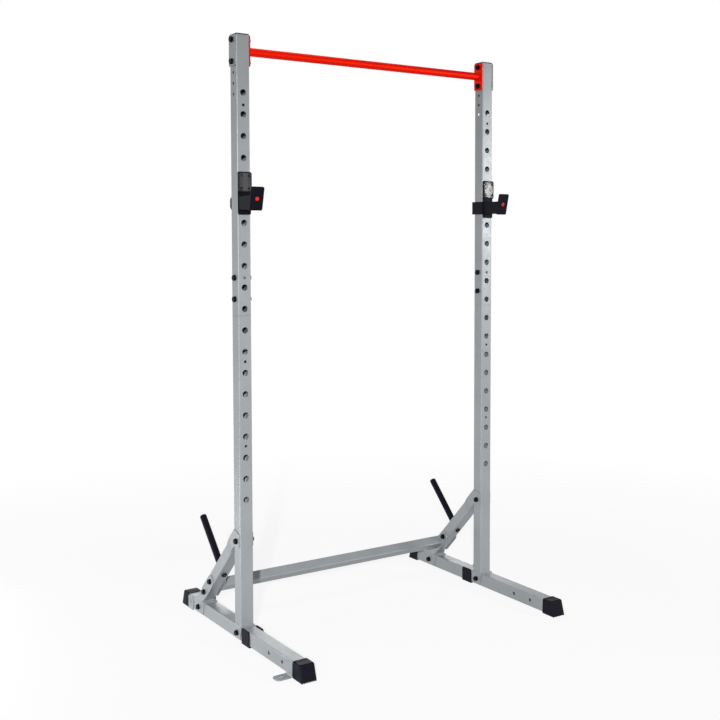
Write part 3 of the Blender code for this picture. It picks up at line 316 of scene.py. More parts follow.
class Shape:
    """Surfaces gathered for one piece."""

    def __init__(self):
        self.points, self.faces, self.count = [], [], 0

    def grid(self, points, around=False):
        """Join the neighbours of a (rows, columns, 3) array; around joins last column to first."""
        rows, columns = points.shape[:2]
        index = self.count + np.arange(rows * columns).reshape(rows, columns)
        if around:
            index = np.hstack([index, index[:, :1]])
        quads = np.stack([index[:-1, :-1], index[:-1, 1:], index[1:, 1:], index[1:, :-1]], -1)
        self.points.append(points.reshape(-1, 3))
        self.faces += quads.reshape(-1, 4).tolist()
        self.count += rows * columns
        return self

    def cap(self, ring):
        """One flat face over a ring of points."""
        self.points.append(ring)
        self.faces.append(list(range(self.count, self.count + len(ring))))
        self.count += len(ring)
        return self

    def solid(self, rings):
        """Rings of equal length joined into a closed body with a flat face at each end."""
        return self.grid(rings, around=True).cap(rings[0]).cap(rings[-1])

    def make(self, node, wall=0.0, edge=0.0, steps=2, name=None, finish=None, inside=None):
        """The finished object: welded, turned outwards, walled, bevelled and riding its body.

        It has its slot's finish unless another is given. inside is a tube's inner finish."""
        name = name or node
        mesh = bpy.data.meshes.new(name)
        mesh.from_pydata(np.vstack(self.points).tolist(), [], self.faces)
        work = bmesh.new()
        work.from_mesh(mesh)
        bmesh.ops.remove_doubles(work, verts=work.verts, dist=1e-6)
        bmesh.ops.recalc_face_normals(work, faces=work.faces)
        work.to_mesh(mesh)
        work.free()
        mesh.shade_smooth()
        mesh.materials.append(finish or FINISH[SLOT_OF[node]])
        piece = bpy.data.objects.new(name + "_surface", mesh)
        bpy.context.scene.collection.objects.link(piece)
        if wall:
            skin = piece.modifiers.new("wall", "SOLIDIFY")
            skin.thickness, skin.offset, skin.use_even_offset = wall, -1, True
        if inside:
            mesh.materials.append(inside)
            skin.material_offset = 1
        if edge:
            bevel = piece.modifiers.new("broken edges", "BEVEL")
            bevel.width, bevel.segments = edge, steps
            bevel.limit_method, bevel.angle_limit = "ANGLE", SHARP
            bevel.use_clamp_overlap = True
        piece.modifiers.new("even shading", "WEIGHTED_NORMAL").weight = 50
        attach(piece, BODY_OF[node])
        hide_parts(node)
        return piece


def thicken(piece, towards):
    """Let an open sheet's wall grow in a direction, as judged at its highest face."""
    face = max(piece.data.polygons, key=lambda polygon: polygon.center.z)
    piece.modifiers["wall"].offset = 1 if np.dot(face.normal, towards) > 0 else -1


print("workbench ready")

# %% [markdown]
# ## Outlines with round corners
# Nearly every flat piece is a polygon whose corners are arcs. An arc that touches both sides of a
# corner has its centre on the corner's bisector, at the radius over the sine of half the angle.
# Plates are such outlines carried along a depth, and pegs, caps and washers are profiles turned
# round an axis. Each drawing function adds to a shape and hands it back.


# %% Outlines
def rounded(points, radius, steps=6):
    """A closed polygon with arcs for corners.

    Each corner is cut back along both sides by radius / tan(half angle); its arc's points are
    centre + radius x (cosine, sine) of angles that run evenly from one touching point to the
    other. A radius may be one number or one for each corner, and 0 keeps the corner sharp."""
    points = np.asarray(points, float)
    radii = np.broadcast_to(np.asarray(radius, float), len(points))
    back = np.roll(points, 1, 0) - points
    ahead = np.roll(points, -1, 0) - points
    back /= np.linalg.norm(back, axis=1, keepdims=True)
    ahead /= np.linalg.norm(ahead, axis=1, keepdims=True)
    half = np.arccos(np.clip((back * ahead).sum(1), -1, 1)) / 2
    bisector = (back + ahead) / np.linalg.norm(back + ahead, axis=1, keepdims=True)
    centre = points + bisector * (radii / np.sin(half))[:, None]
    start = points + back * (radii / np.tan(half))[:, None] - centre
    end = points + ahead * (radii / np.tan(half))[:, None] - centre
    turn = np.arctan2(start[:, 0] * end[:, 1] - start[:, 1] * end[:, 0], (start * end).sum(1))
    angle = np.arctan2(start[:, 1], start[:, 0])[:, None] + turn[:, None] * np.linspace(0, 1, steps + 1)
    arcs = centre[:, None] + radii[:, None, None] * np.stack([np.cos(angle), np.sin(angle)], -1)
    return np.vstack([arc if r > 0 else corner[None] for arc, r, corner in zip(arcs, radii, points)])


def rectangle(width, height, radius, steps=6):
    """A rectangle about the origin with round corners."""
    u, v = width / 2, height / 2
    return rounded([(-u, -v), (u, -v), (u, v), (-u, v)], radius, steps)


def disc(radius, sides):
    """A circle of points about the origin."""
    angle = np.linspace(0, 2 * math.pi, sides, endpoint=False)
    return radius * np.stack([np.cos(angle), np.sin(angle)], -1)


def lift(outline, origin, u_axis, v_axis):
    """Put flat points into space: origin + u x u_axis + v x v_axis."""
    return origin + outline[:, :1] * u_axis + outline[:, 1:] * v_axis


def plate(shape, outline, origin, u_axis, v_axis, depth):
    """A flat plate: the outline, and the outline carried along the depth vector."""
    ring = lift(outline, origin, u_axis, v_axis)
    return shape.solid(np.stack([ring, ring + depth]))


def turned(shape, profile, origin, axis, sides):
    """A turned body: each (radius, height) of the profile becomes a circle round the axis."""
    first = np.cross(axis, X if abs(axis[0]) < 0.9 else Y)
    first /= np.linalg.norm(first)
    circle = disc(1.0, sides)
    return shape.solid(np.stack([lift(radius * circle, origin + height * axis, first, np.cross(axis, first))
                                 for radius, height in profile]))


def fillet(radius, height, turn, steps=4):
    """Quarter round for a profile, from the side to the end of a body of this radius.

    The points are (radius - turn x (1 - cos a), height - turn x (1 - sin a)) for a from 0 to 90
    degrees, so the side meets the flat end without a sharp rim."""
    a = np.linspace(0, math.pi / 2, steps + 1)
    return list(zip(radius - turn * (1 - np.cos(a)), height - turn * (1 - np.sin(a))))


print("outline of a tube:", len(rectangle(TUBE, TUBE, 0.004)), "points")

# %% [markdown]
# ## Square tube with round holes
# Square tube is rolled, so its corners are round, and its holes are punched. A Boolean could cut
# them, but its long thin triangles shade badly along a flat face. Instead each of the four flats
# is laid out in rows, and round each hole a ring of faces leads from the square cell's edge to the
# circle. The four flats and the four rolled corners share the same rows, so they weld.

# %% Square tube with round holes
WALL = 0.002
TUBE_CORNER = 0.004
TUBE_EDGE = 0.0004
COLUMNS = 8
CORNER_STEPS = 5
CLOSE = 1e-7


def cell_rows(middle, half):
    """Rows across a hole's cell, at equal angles as seen from the hole's middle."""
    return middle + half * np.tan(np.linspace(-math.pi / 4, math.pi / 4, COLUMNS + 1))


def holed_flat(shape, place, columns, rows, holes):
    """One flat of the tube, with a ring of faces round each (height, radius, half cell) hole.

    The ring's outer edge walks round the cell; each of its points is carried straight towards
    the hole's middle until it lies on the circle."""
    inside = np.zeros(len(rows) - 1, bool)
    for height, radius, half in holes:
        in_cell = (rows > height - half - CLOSE) & (rows < height + half + CLOSE)
        inside |= in_cell[:-1] & in_cell[1:]
        up = rows[in_cell]
        edge = np.vstack([np.stack([columns, np.full_like(columns, up[0])], -1)[:-1],
                          np.stack([np.full_like(up, columns[-1]), up], -1)[:-1],
                          np.stack([columns[::-1], np.full_like(columns, up[-1])], -1)[:-1],
                          np.stack([np.full_like(up, columns[0]), up[::-1]], -1)[:-1]])
        out = edge - (0, height)
        circle = (0, height) + radius * out / np.linalg.norm(out, axis=1, keepdims=True)
        shape.grid(place(np.stack([edge, circle])), around=True)
    for k in np.flatnonzero(~inside):
        shape.grid(place(np.stack(np.meshgrid(columns, rows[k:k + 2]), -1)))


def square_tube(shape, origin, u_axis, v_axis, ends, size=TUBE, corner=TUBE_CORNER, holes=()):
    """Outer skin of a tube along u x v. Holes are (flat, height, radius, half cell).

    The flats face -v, +u, +v and -u. A rolled corner's points are its centre plus the corner's
    radius times the cosine and sine between the two flats' directions. Each end is a height or a
    plane (point, normal), and then the first or last row slides along the tube to that plane."""
    along = np.cross(u_axis, v_axis)
    cuts = [end if isinstance(end, tuple) else (origin + end * along, along) for end in ends]
    limits = [np.dot(point - origin, along) for point, _ in cuts]
    rows = [limits] + [cell_rows(height, half) for _, height, _, half in holes]
    rows = np.unique(np.round(np.concatenate(rows), 7))
    flat = size / 2 - corner
    facing = [-v_axis, u_axis, v_axis, -u_axis]

    def trimmed(points, heights):
        for limit, (point, normal) in zip(limits, cuts):
            slide = ((point - points) @ normal) / (along @ normal)
            points = points + (np.abs(heights - limit) < CLOSE)[..., None] * slide[..., None] * along
        return points

    for k, out in enumerate(facing):
        side = facing[(k + 1) % 4]

        def place(flat_points):
            across, up = flat_points[..., :1], flat_points[..., 1:]
            return trimmed(origin + out * size / 2 + across * side + up * along, up[..., 0])

        holed_flat(shape, place, cell_rows(0, flat), rows, [h[1:] for h in holes if h[0] == k])
        a = np.linspace(0, math.pi / 2, CORNER_STEPS + 1)[:, None]
        arc = origin + flat * (out + side) + corner * (np.cos(a) * out + np.sin(a) * side)
        strip = arc[None] + rows[:, None, None] * along
        shape.grid(trimmed(strip, np.broadcast_to(rows[:, None], strip.shape[:2])))
    return shape


FLAT = TUBE / 2 - TUBE_CORNER
print("flat %.0f mm wide between the rolled corners" % (2000 * FLAT))

# %% [markdown]
# ## Welds
# The tubes are welded to their foot plates and the bar to its end plates. A weld is a fillet laid
# down drop after drop, so its surface is a row of overlapping scales. We carry a small circle
# along the joint, and let its radius swell once for each scale.

# %% Weld bead
SCALE_LENGTH = 0.0032
BEAD_STEP, BEAD_SIDES = 0.0007, 8
SWELL_BASE, SWELL_TOOTH, SWELL_WOBBLE = 0.86, 0.14, 0.05


def bead(shape, outline, origin, u_axis, v_axis, radius=0.0021):
    """A weld round a closed outline: a circle carried along it.

    Over each scale its radius falls with the square root of the way that is left, and a small
    sine keeps the scales from being alike."""
    ring = lift(outline, origin, u_axis, v_axis)
    ring = np.vstack([ring, ring[:1]])
    length = np.concatenate([[0], np.cumsum(np.linalg.norm(np.diff(ring, axis=0), axis=1))])
    scales = max(4, round(length[-1] / SCALE_LENGTH))
    s = np.linspace(0, length[-1], max(24, int(length[-1] / BEAD_STEP)), endpoint=False)
    path = np.stack([np.interp(s, length, ring[:, k]) for k in range(3)], -1)
    forward = np.roll(path, -1, 0) - np.roll(path, 1, 0)
    forward /= np.linalg.norm(forward, axis=1, keepdims=True)
    normal = np.cross(u_axis, v_axis)
    side = np.cross(forward, normal)
    tooth = np.sqrt(1 - (s / length[-1] * scales) % 1.0)
    swell = radius * (SWELL_BASE + SWELL_TOOTH * tooth + SWELL_WOBBLE * np.sin(7 * s / SCALE_LENGTH))
    a = np.linspace(0, 2 * math.pi, BEAD_SIDES, endpoint=False)
    across = np.cos(a)[None, :, None] * side[:, None] + np.sin(a)[None, :, None] * normal
    points = path[:, None] + swell[:, None, None] * across
    return shape.grid(np.concatenate([points, points[:1]]), around=True)


print("a scale every %.1f mm" % (1000 * SCALE_LENGTH))

# %% [markdown]
# ## Folded sheet
# The saddles, pads and floor brackets are flat pieces that were folded. A folded sheet is a path
# seen edge on, carried across its width. Where the sheet narrows or has round tips, the width
# changes along the path, so the whole sheet is still one grid.


# %% Folded sheet
def walk(corner_points, bends):
    """An open path with round bends: its points and the distance to each."""
    path = rounded(corner_points, [0, *bends, 0])
    return path, np.concatenate([[0], np.cumsum(np.linalg.norm(np.diff(path, axis=0), axis=1))])


def tip_rows(radius):
    """Distances from a sheet's tip where its round corners are drawn, and the cut at each."""
    a = np.linspace(0, math.pi / 2, 6)
    return radius * (1 - np.cos(a)), radius * (1 - np.sin(a))


def folded_sheet(shape, path, bend, half_width, tip_radius, origin, columns):
    """A sheet that follows a path in the x, z plane with two bends, and spreads along y.

    half_width(s) is its half width at distance s along the path. Within tip_radius of either
    end it is cut back by radius x (1 - sine), which rounds the corners."""
    bent, length = walk(path, [bend, bend])
    total = length[-1]
    back, cut = tip_rows(tip_radius)
    s = np.unique(np.round(np.concatenate([back, length, np.linspace(0, total, 13), total - back]), 7))
    p, q = [np.interp(s, length, bent[:, k])[:, None, None] for k in (0, 1)]
    from_tip = np.minimum(s, total - s)
    half = half_width(s) - np.where(from_tip < tip_radius, np.interp(from_tip, back, cut), 0)
    w = half[:, None] * np.linspace(-1, 1, columns)
    return shape.grid(origin + p * X + q * Z + w[..., None] * Y)


print("folding ready")

# %% [markdown]
# ## Uprights
# Each upright is two lengths of tube that meet at a seam, over an inner sleeve. Big holes for the
# catches run up the front and go right through to the back; a few small ones lie between them, and
# three more on each side under the pull-up bar's bolts. Its foot is welded to a saddle that is
# folded over the base tube.

# %% Uprights
PIN_RADIUS = 0.011
PIN_PITCH = 0.075
LOWEST_PIN = 0.5073
PIN_COUNT = 20
SMALL_RADIUS, SIDE_RADIUS = 0.005, 0.0053
SMALL_DROPS = (0.0428, 0.6413, 0.9356, 1.2341)
SIDE_HOLES = 3
SMALL_CELL = 0.010
BAR_HEIGHT = corners("bar_backing_left")[:, 2].mean()
BAR_BOLT_SPACING = 0.075
SHEET = 0.003
SEAT = 0.0003
BASE_LOW, BASE_HIGH = corners("base_tube_right")
BASE_TOP = BASE_HIGH[2]
SADDLE_OUT, SADDLE_TOP = TUBE / 2 + SEAT + SHEET, BASE_TOP + SEAT + SHEET
SADDLE_TIP = BASE_LOW[2] + 0.004
SADDLE_BEND, SADDLE_ROUND, SADDLE_EDGE = 0.0045, 0.004, 0.0006
FOOT_TOP_HALF, FOOT_TIP_HALF = 0.034, 0.020
BRACE_FOOT_TOP_HALF, BRACE_FOOT_TIP_HALF = 0.049, 0.036


def upright_holes(low, high):
    """The holes that lie between two heights, as (flat, height, radius, half cell)."""
    pins = LOWEST_PIN + PIN_PITCH * np.arange(PIN_COUNT)
    holes = [(flat, z, PIN_RADIUS, FLAT) for z in pins for flat in (0, 2)]
    holes += [(0, pins[-1] - drop, SMALL_RADIUS, SMALL_CELL) for drop in SMALL_DROPS]
    spare = BAR_HEIGHT - BAR_BOLT_SPACING / 2 - PIN_PITCH / 2 * np.arange(1, SIDE_HOLES + 1)
    holes += [(flat, z, SIDE_RADIUS, SMALL_CELL) for z in spare for flat in (1, 3)]
    return [hole for hole in holes if low < hole[1] < high]


def saddle(shape, spot, top_half, tip_half):
    """Sheet folded over the base tube: up one flank, across, and down the other.

    Its half length falls in a straight line from the top to the tips of the flanks."""
    out, top, tip = SADDLE_OUT, SADDLE_TOP, SADDLE_TIP
    flank = top - tip
    total = 2 * flank + 2 * out - 4 * SADDLE_BEND + math.pi * SADDLE_BEND

    def half(s):
        down = np.clip((flank - np.minimum(s, total - s)) / flank, 0, 1)
        return top_half + (tip_half - top_half) * down

    path = [(-out, tip), (-out, top), (out, top), (out, tip)]
    return folded_sheet(shape, path, SADDLE_BEND, half, SADDLE_ROUND, spot, 5)


for side_name, side in SIDES.items():
    for part in ("lower", "upper"):
        node = "%s_upright_%s" % (part, side_name)
        low, high = corners(node)
        bottom = SADDLE_TOP if part == "lower" else low[2]
        tube = square_tube(Shape(), FOOT[side], X, Y, (bottom, high[2]), holes=upright_holes(bottom, high[2]))
        tube.make(node, WALL, TUBE_EDGE, inside=INSIDE)
    node = "lower_upright_" + side_name
    sheet = saddle(Shape(), FOOT[side], FOOT_TOP_HALF, FOOT_TIP_HALF)
    sheet.make(node, SHEET, SADDLE_EDGE, name="upright_saddle_" + side_name)
    weld = bead(Shape(), rectangle(TUBE, TUBE, TUBE_CORNER), FOOT[side] + SADDLE_TOP * Z, X, Y)
    weld.make(node, name="upright_weld_" + side_name)
print("uprights:", len(upright_holes(0, 3)), "holes in each")

# %% [markdown]
# ## Base tubes, boots, pads and floor brackets
# A base tube lies along the floor under each upright. Its ends stand in rubber boots that flare
# out to a wider sole, a rubber pad is folded round it beside the upright, and floor brackets sit
# against its outer side next to the boots.

# %% Base tubes
ANCHOR_PLACES = (-0.234, -0.328)
ANCHOR_RADIUS, ANCHOR_CELL = 0.006, 0.014
BASE_MIDDLE = (BASE_LOW[2] + BASE_HIGH[2]) / 2

for side_name, side in SIDES.items():
    low, high = corners("base_tube_" + side_name)
    holes = [(flat, place, ANCHOR_RADIUS, ANCHOR_CELL) for place in ANCHOR_PLACES for flat in (0, 2)]
    tube = square_tube(Shape(), FOOT[side] + BASE_MIDDLE * Z, Z, X, (low[1] - UPRIGHT_Y, high[1] - UPRIGHT_Y),
                       holes=holes)
    # The base tube's inside is the dark bare steel, which also paints shade into its anchor holes.
    tube.make("base_tube_" + side_name, WALL, TUBE_EDGE, inside=BARE_STEEL_AND_SHADE)
print("base tubes %.0f mm long" % (1000 * (high[1] - low[1])))

# %% [markdown]
# A boot is drawn from its mouth to its end in rings, each a rectangle with round upper corners.
# The sole is longer than the top, so every ring is sheared: a point's distance from the mouth is
# its share of the length at its own height. Shallow bands near the mouth stiffen the skirt, and
# bars of tread under the sole grip the floor; from the end they look like a row of teeth.

# %% Rubber boots
BOOT_TOP_LENGTH, BOOT_SOLE_LENGTH = 0.046, 0.062
BOOT_HALF, BOOT_SPREAD = TUBE / 2 + 0.003, 0.0015
BOOT_HEIGHT = BASE_TOP + 0.003
BOOT_CORNER, BOOT_ROUND, BOOT_WALL = 0.0055, 0.0045, 0.0026
BANDS, BAND_DEPTH = (0.13, 0.25, 0.37), 0.0005
BAND_PROFILE = ((-0.035, 0), (-0.015, 1), (0.015, 1), (0.035, 0))
END_INSETS = (0.010, 0.018, 0.0255)
TREAD, TREAD_SINK = 0.002, 0.0008
TREAD_BARS, TREAD_PITCH, TREAD_WIDTH = 8, 0.0072, 0.0040


def boot(shape, x, mouth, facing):
    """Outer skin of a boot, open at its mouth.

    A ring is a rounded rectangle drawn in by inset, and its points lie at share x the boot's
    length at their height, where share runs from 0 at the mouth to 1 at the end."""
    a = np.linspace(0, math.pi / 2, 6)
    turn = BOOT_ROUND / BOOT_TOP_LENGTH
    steps = [(0.0, 0.0), (0.02, 0.0)]
    steps += [(band + off, BAND_DEPTH * sunk) for band in BANDS for off, sunk in BAND_PROFILE]
    steps += [(0.6, 0.0), (0.8, 0.0)]
    steps += zip(1 - turn * (1 - np.sin(a)), BOOT_ROUND * (1 - np.cos(a)))
    steps += [(1.0, inset) for inset in END_INSETS]
    rings = []
    for share, inset in steps:
        half, sole, roof = BOOT_HALF - inset, TREAD + inset, BOOT_HEIGHT - inset
        corner = max(0.0004, BOOT_CORNER - inset * 0.5)
        outline = rounded([(-half, sole), (half, sole), (half, roof), (-half, roof)],
                          [corner * 0.4, corner * 0.4, corner, corner], 5)
        up = outline[:, 1] / BOOT_HEIGHT
        length = BOOT_SOLE_LENGTH + (BOOT_TOP_LENGTH - BOOT_SOLE_LENGTH) * up
        flare = 1 + BOOT_SPREAD / BOOT_HALF * (1 - up)
        from_mouth = facing * share * length
        rings.append(np.stack([x + outline[:, 0] * flare, mouth + from_mouth, outline[:, 1]], -1))
    return shape.grid(np.stack(rings), around=True).cap(rings[-1])


def boot_tread(shape, x, mouth, facing):
    """Bars under the sole, each a strip nearly as long as the sole with round ends."""
    bar = rectangle(TREAD_WIDTH, BOOT_SOLE_LENGTH - 2 * TREAD_WIDTH / 5, TREAD_WIDTH / 4, 4)
    middle = mouth + facing * BOOT_SOLE_LENGTH / 2
    for place in TREAD_PITCH * (np.arange(TREAD_BARS) - (TREAD_BARS - 1) / 2):
        plate(shape, bar, (x + place) * X + middle * Y, X, Y, (TREAD + TREAD_SINK) * Z)
    return shape


for side_name, side in SIDES.items():
    for kind, facing in (("front", -1), ("rear", 1)):
        node = "boot_%s_%s" % (kind, side_name)
        low, high = corners(node)
        mouth = high[1] if facing < 0 else low[1]
        boot(Shape(), side * UPRIGHT_X, mouth, facing).make(node, BOOT_WALL, 0.0005)
        tread = boot_tread(Shape(), side * UPRIGHT_X, mouth, facing)
        tread.make(node, edge=0.0004, name="boot_tread_%s_%s" % (kind, side_name))
print("boots %.0f mm high" % (1000 * BOOT_HEIGHT))

# %% [markdown]
# The pad is a strip of thick rubber folded up both flanks of the base tube, with rounded upper
# corners. It is drawn as its outer skin, and the wall is added inwards.

# %% Rubber pads
PAD_THICK, PAD_ROUND, PAD_BEND = 0.004, 0.008, 0.003

for side_name, side in SIDES.items():
    low, high = corners("base_pad_" + side_name)
    out, half_length, _ = (high - low) / 2
    spot = side * UPRIGHT_X * X + (low[1] + high[1]) / 2 * Y
    path = [(-out, high[2]), (-out, 0.0), (out, 0.0), (out, high[2])]
    pad = folded_sheet(Shape(), path, PAD_BEND, lambda s: half_length, PAD_ROUND, spot, 9)
    pad.make("base_pad_" + side_name, PAD_THICK, 0.0009, 3)
print("pads %.0f mm long" % (2000 * half_length))

# %% [markdown]
# A floor bracket is 4 mm plate with a long slot for an anchor. The front one folds out along the
# floor; the rear one stays flat. Both are drawn flat first: the plate round the slot is a ring of
# faces from the outline to the slot. Then every point is carried round the fold. The skin drawn is
# the face that lies against the tube, so the wall grows outwards.

# %% Floor brackets
PLATE = 0.004
BRACKET_HALF = 0.021
BRACKET_FOLD = 0.006
FRONT_ROUND, REAR_ROUND, ROOT_ROUND = 0.014, 0.003, 0.004
SLOT_FROM_TIP = 0.022
FRONT_SLOT, REAR_SLOT = (0.018, 0.009), (0.032, 0.010)


def slot_ring(edge, centre, long, wide):
    """Points on a slot's rim, one for each point of an edge round it.

    Each is carried towards the slot's middle, by halving the share left to go, until its
    distance from the slot's centre line is half the slot's width."""
    out = edge - centre
    reach = (long - wide) / 2
    low, high = np.zeros(len(out)), np.ones(len(out))
    for _ in range(30):
        share = (low + high) / 2
        point = out * share[:, None]
        outside = np.hypot(point[:, 0] - np.clip(point[:, 0], -reach, reach), point[:, 1]) > wide / 2
        low, high = np.where(outside, low, share), np.where(outside, share, high)
    return centre + out * ((low + high) / 2)[:, None]


def slotted_plate(shape, length, tip_round, slot_at, slot, place):
    """A flat plate from 0 to length, with round corners and a slot, put in space by place(p, w)."""
    half, start = BRACKET_HALF, slot_at - BRACKET_HALF
    across = np.linspace(-half, half, 9)
    edge = rounded([(start, -half), (length, -half), (length, half), (start, half)],
                   [0, tip_round, tip_round, 0], 7)
    sides = np.linspace(start, length - tip_round, 6)[1:-1]
    edge = np.vstack([edge[:1], np.stack([sides, np.full(4, -half)], -1), edge[1:-1],
                      np.stack([sides[::-1], np.full(4, half)], -1), edge[-1:],
                      np.stack([np.full(7, start), across[1:-1][::-1]], -1)])
    rim = slot_ring(edge, (slot_at, 0.0), *slot)
    shape.grid(place(np.stack([edge, (edge + rim) / 2, rim])), around=True)
    back, cut = tip_rows(ROOT_ROUND)
    p = np.unique(np.round(np.concatenate([back, np.linspace(ROOT_ROUND, start, 24)]), 7))
    w = (half - np.where(p < ROOT_ROUND, np.interp(p, back, cut), 0))[:, None] * np.linspace(-1, 1, 9)
    return shape.grid(place(np.stack([np.broadcast_to(p[:, None], w.shape), w], -1)))


def bracket(node, kind, side):
    """One floor bracket: its path from the leg's top, and the slotted plate laid along it."""
    low, high = corners(node)
    if kind == "front":
        path, reach = walk([(0, high[2]), (0, low[2]), (high[0] - low[0], low[2])], [BRACKET_FOLD])
        slot_at, slot, tip_round = reach[-1] - SLOT_FROM_TIP, FRONT_SLOT, FRONT_ROUND
    else:
        path, reach = np.array([(0, high[2]), (0, low[2])]), np.array([0, high[2] - low[2]])
        slot_at, slot, tip_round = reach[-1] / 2, REAR_SLOT, REAR_ROUND

    def bent(flat_points):
        out, up = [np.interp(flat_points[..., 0], reach, path[:, k]) for k in (0, 1)]
        return np.stack([side * (UPRIGHT_X + TUBE / 2 + SEAT + out),
                         (low[1] + high[1]) / 2 + flat_points[..., 1], up], -1)

    return slotted_plate(Shape(), reach[-1], tip_round, slot_at, slot, bent)


for side_name, side in SIDES.items():
    for kind in ("front", "rear"):
        node = "anchor_bracket_%s_%s" % (kind, side_name)
        thicken(bracket(node, kind, side).make(node, PLATE, 0.0007), side * X)
print("brackets %.0f mm wide" % (2000 * BRACKET_HALF))

# %% [markdown]
# ## Braces
# A brace runs down at 45 degrees from each upright to the base. Its sides open out at the top into
# two ears that grip the upright, and at the bottom into the flanks of a saddle. The tube is one
# skin; each ear is a sheet whose face starts flat, then eases inwards on an S curve until it sinks
# into the tube's side, so no edge shows where they meet.

# %% Braces
BRACE_SIZE = 0.045
BRACE_TOP = 0.386
BRACE_FOOT = 0.331
SLOPE = math.radians(45)
DOWN = np.array((0, math.cos(SLOPE), -math.sin(SLOPE)))
RISE = np.array((0, math.sin(SLOPE), math.cos(SLOPE)))
EAR_FRONT, EAR_HIGH, EAR_LOW, EAR_ROUND = 0.020, 0.386, 0.338, 0.004
EAR_FLAT, EAR_LAP = 0.064, 0.124
EAR_HALF = BRACE_SIZE / 2 - 0.0005
SUNK = BRACE_SIZE / 2 - 0.00015
GUSSET, GUSSET_PROUD, GUSSET_WALL = 0.022, 0.0001, 0.0015
SHEET_EDGE = 0.0005


def along_brace(foot, distance, across=0.0):
    """Points down the brace's centre line, raised square to it by across."""
    return foot + BRACE_TOP * Z + np.multiply.outer(distance, DOWN) + np.multiply.outer(across, RISE)


def ease(t):
    """S curve from 0 to 1: 3 t squared minus 2 t cubed."""
    t = np.clip(t, 0, 1)
    return t * t * (3 - 2 * t)


def ear(shape, foot, face):
    """Side sheet of the brace, from its front edge on the upright to where it sinks in.

    Each row is a straight line from the sheet's upper edge to its lower edge. The rows start
    upright and turn square to the brace, and the sheet's distance from the middle plane eases
    from the upright's side to the tube's side."""
    a = np.linspace(0, math.pi / 2, 5)
    nose = EAR_FRONT - EAR_ROUND + EAR_ROUND * np.cos(a)
    cut = EAR_ROUND * (1 - np.sin(a))
    edges = []
    for up, tip in ((1, EAR_HIGH - cut), (-1, EAR_LOW + cut)):
        start = math.sqrt(2) * EAR_FRONT - up * EAR_HALF
        distance = np.append(np.linspace(start, EAR_FLAT, 5), np.linspace(EAR_FLAT, EAR_LAP, 15)[1:])
        inward = ease((distance - EAR_FLAT) / (EAR_LAP - EAR_FLAT))
        side = along_brace(0 * X, distance, up * (EAR_HALF - inward * TUBE_CORNER))
        edges.append(np.vstack([np.outer(-nose, Y) + np.outer(tip, Z), side]))
    out = np.append(np.full(len(nose), SADDLE_OUT), SADDLE_OUT + (SUNK - SADDLE_OUT) * inward)
    share = np.linspace(0, 1, 9)[:, None]
    rows = edges[0][:, None] * (1 - share) + edges[1][:, None] * share
    return shape.grid(foot + rows + (face * out)[:, None, None] * X)


def gusset(shape, foot, face):
    """Lower end of the brace's side, which eases out to the saddle's flank."""
    z = BASE_TOP + np.linspace(-SHEET, GUSSET + SHEET, 12)
    inward = ease((z - BASE_TOP - SHEET) / GUSSET)
    out = SADDLE_OUT + GUSSET_PROUD
    x = face * (out + (SUNK - out) * inward)
    half = (EAR_HALF - TUBE_CORNER * 0.8 * inward) / math.sin(SLOPE)
    y = (BRACE_TOP - z)[:, None] + half[:, None] * np.linspace(-1, 1, 7)
    return shape.grid(foot + x[:, None, None] * X + y[..., None] * Y + z[:, None, None] * Z)


for side_name, side in SIDES.items():
    node, foot = "brace_" + side_name, FOOT[side]
    ends = ((foot + (TUBE / 2 + SEAT) * Y, Y), (foot + SADDLE_TOP * Z, Z))
    tube = square_tube(Shape(), foot + BRACE_TOP * Z, X, RISE, ends, size=BRACE_SIZE)
    tube.make(node, WALL, TUBE_EDGE)
    for name, draw, wall in (("ear", ear, SHEET), ("gusset", gusset, GUSSET_WALL)):
        for k, face in enumerate((-1, 1), start=1):
            sheet_name = "brace_%s_%s_%d" % (name, side_name, k)
            thicken(draw(Shape(), foot, face).make(node, wall, SHEET_EDGE, name=sheet_name), -face * X)
    sheet = saddle(Shape(), foot + BRACE_FOOT * Y, BRACE_FOOT_TOP_HALF, BRACE_FOOT_TIP_HALF)
    sheet.make(node, SHEET, SADDLE_EDGE, name="brace_saddle_" + side_name)
    outline = rectangle(BRACE_SIZE, BRACE_SIZE / math.sin(SLOPE), TUBE_CORNER)
    weld = bead(Shape(), outline, foot + SADDLE_TOP * Z + (BRACE_TOP - SADDLE_TOP) * Y, X, Y)
    weld.make(node, name="brace_weld_" + side_name)
print("braces from %.0f mm up" % (1000 * BRACE_TOP))

# %% [markdown]
# ## Crossbar and pull-up bar
# A square tube joins the braces. It is turned to their slope and welded to a lug at each end. The
# pull-up bar is round tube between two plates, all in gloss red. Both are bolted through to a loose
# plate on the far side, which spreads the bolts' load, so one function ends both bars.

# %% Crossbar and pull-up bar
CROSS_ALONG, CROSS_BELOW = 0.3645, 0.0035
CROSS_SIZE, CROSS_CORNER = 0.038, 0.003
LUG_WIDTH, LUG_LENGTH, LUG_ROUND = 0.046, 0.116, 0.018
BAR_RADIUS, BAR_SIDES, BAR_PLATE_ROUND, BAR_PLATE_EDGE = 0.015, 64, 0.006, 0.0008


def bar_end(bar, names, outline, joint, middle, axes, half_gap, side):
    """Welded plate, backing plate and weld at one end of a bar; half_gap is half the tube joined."""
    plate_name, backing, weld_name = names
    for node, name, way in ((bar, plate_name, -1), (backing, backing, 1)):
        origin = middle + side * (UPRIGHT_X + way * half_gap) * X
        sheet = plate(Shape(), outline, origin, *axes, side * way * PLATE * X)
        sheet.make(node, edge=BAR_PLATE_EDGE, steps=3, name=name)
    weld = bead(Shape(), joint, middle + side * (UPRIGHT_X - half_gap - PLATE) * X, *axes)
    weld.make(bar, name=weld_name)


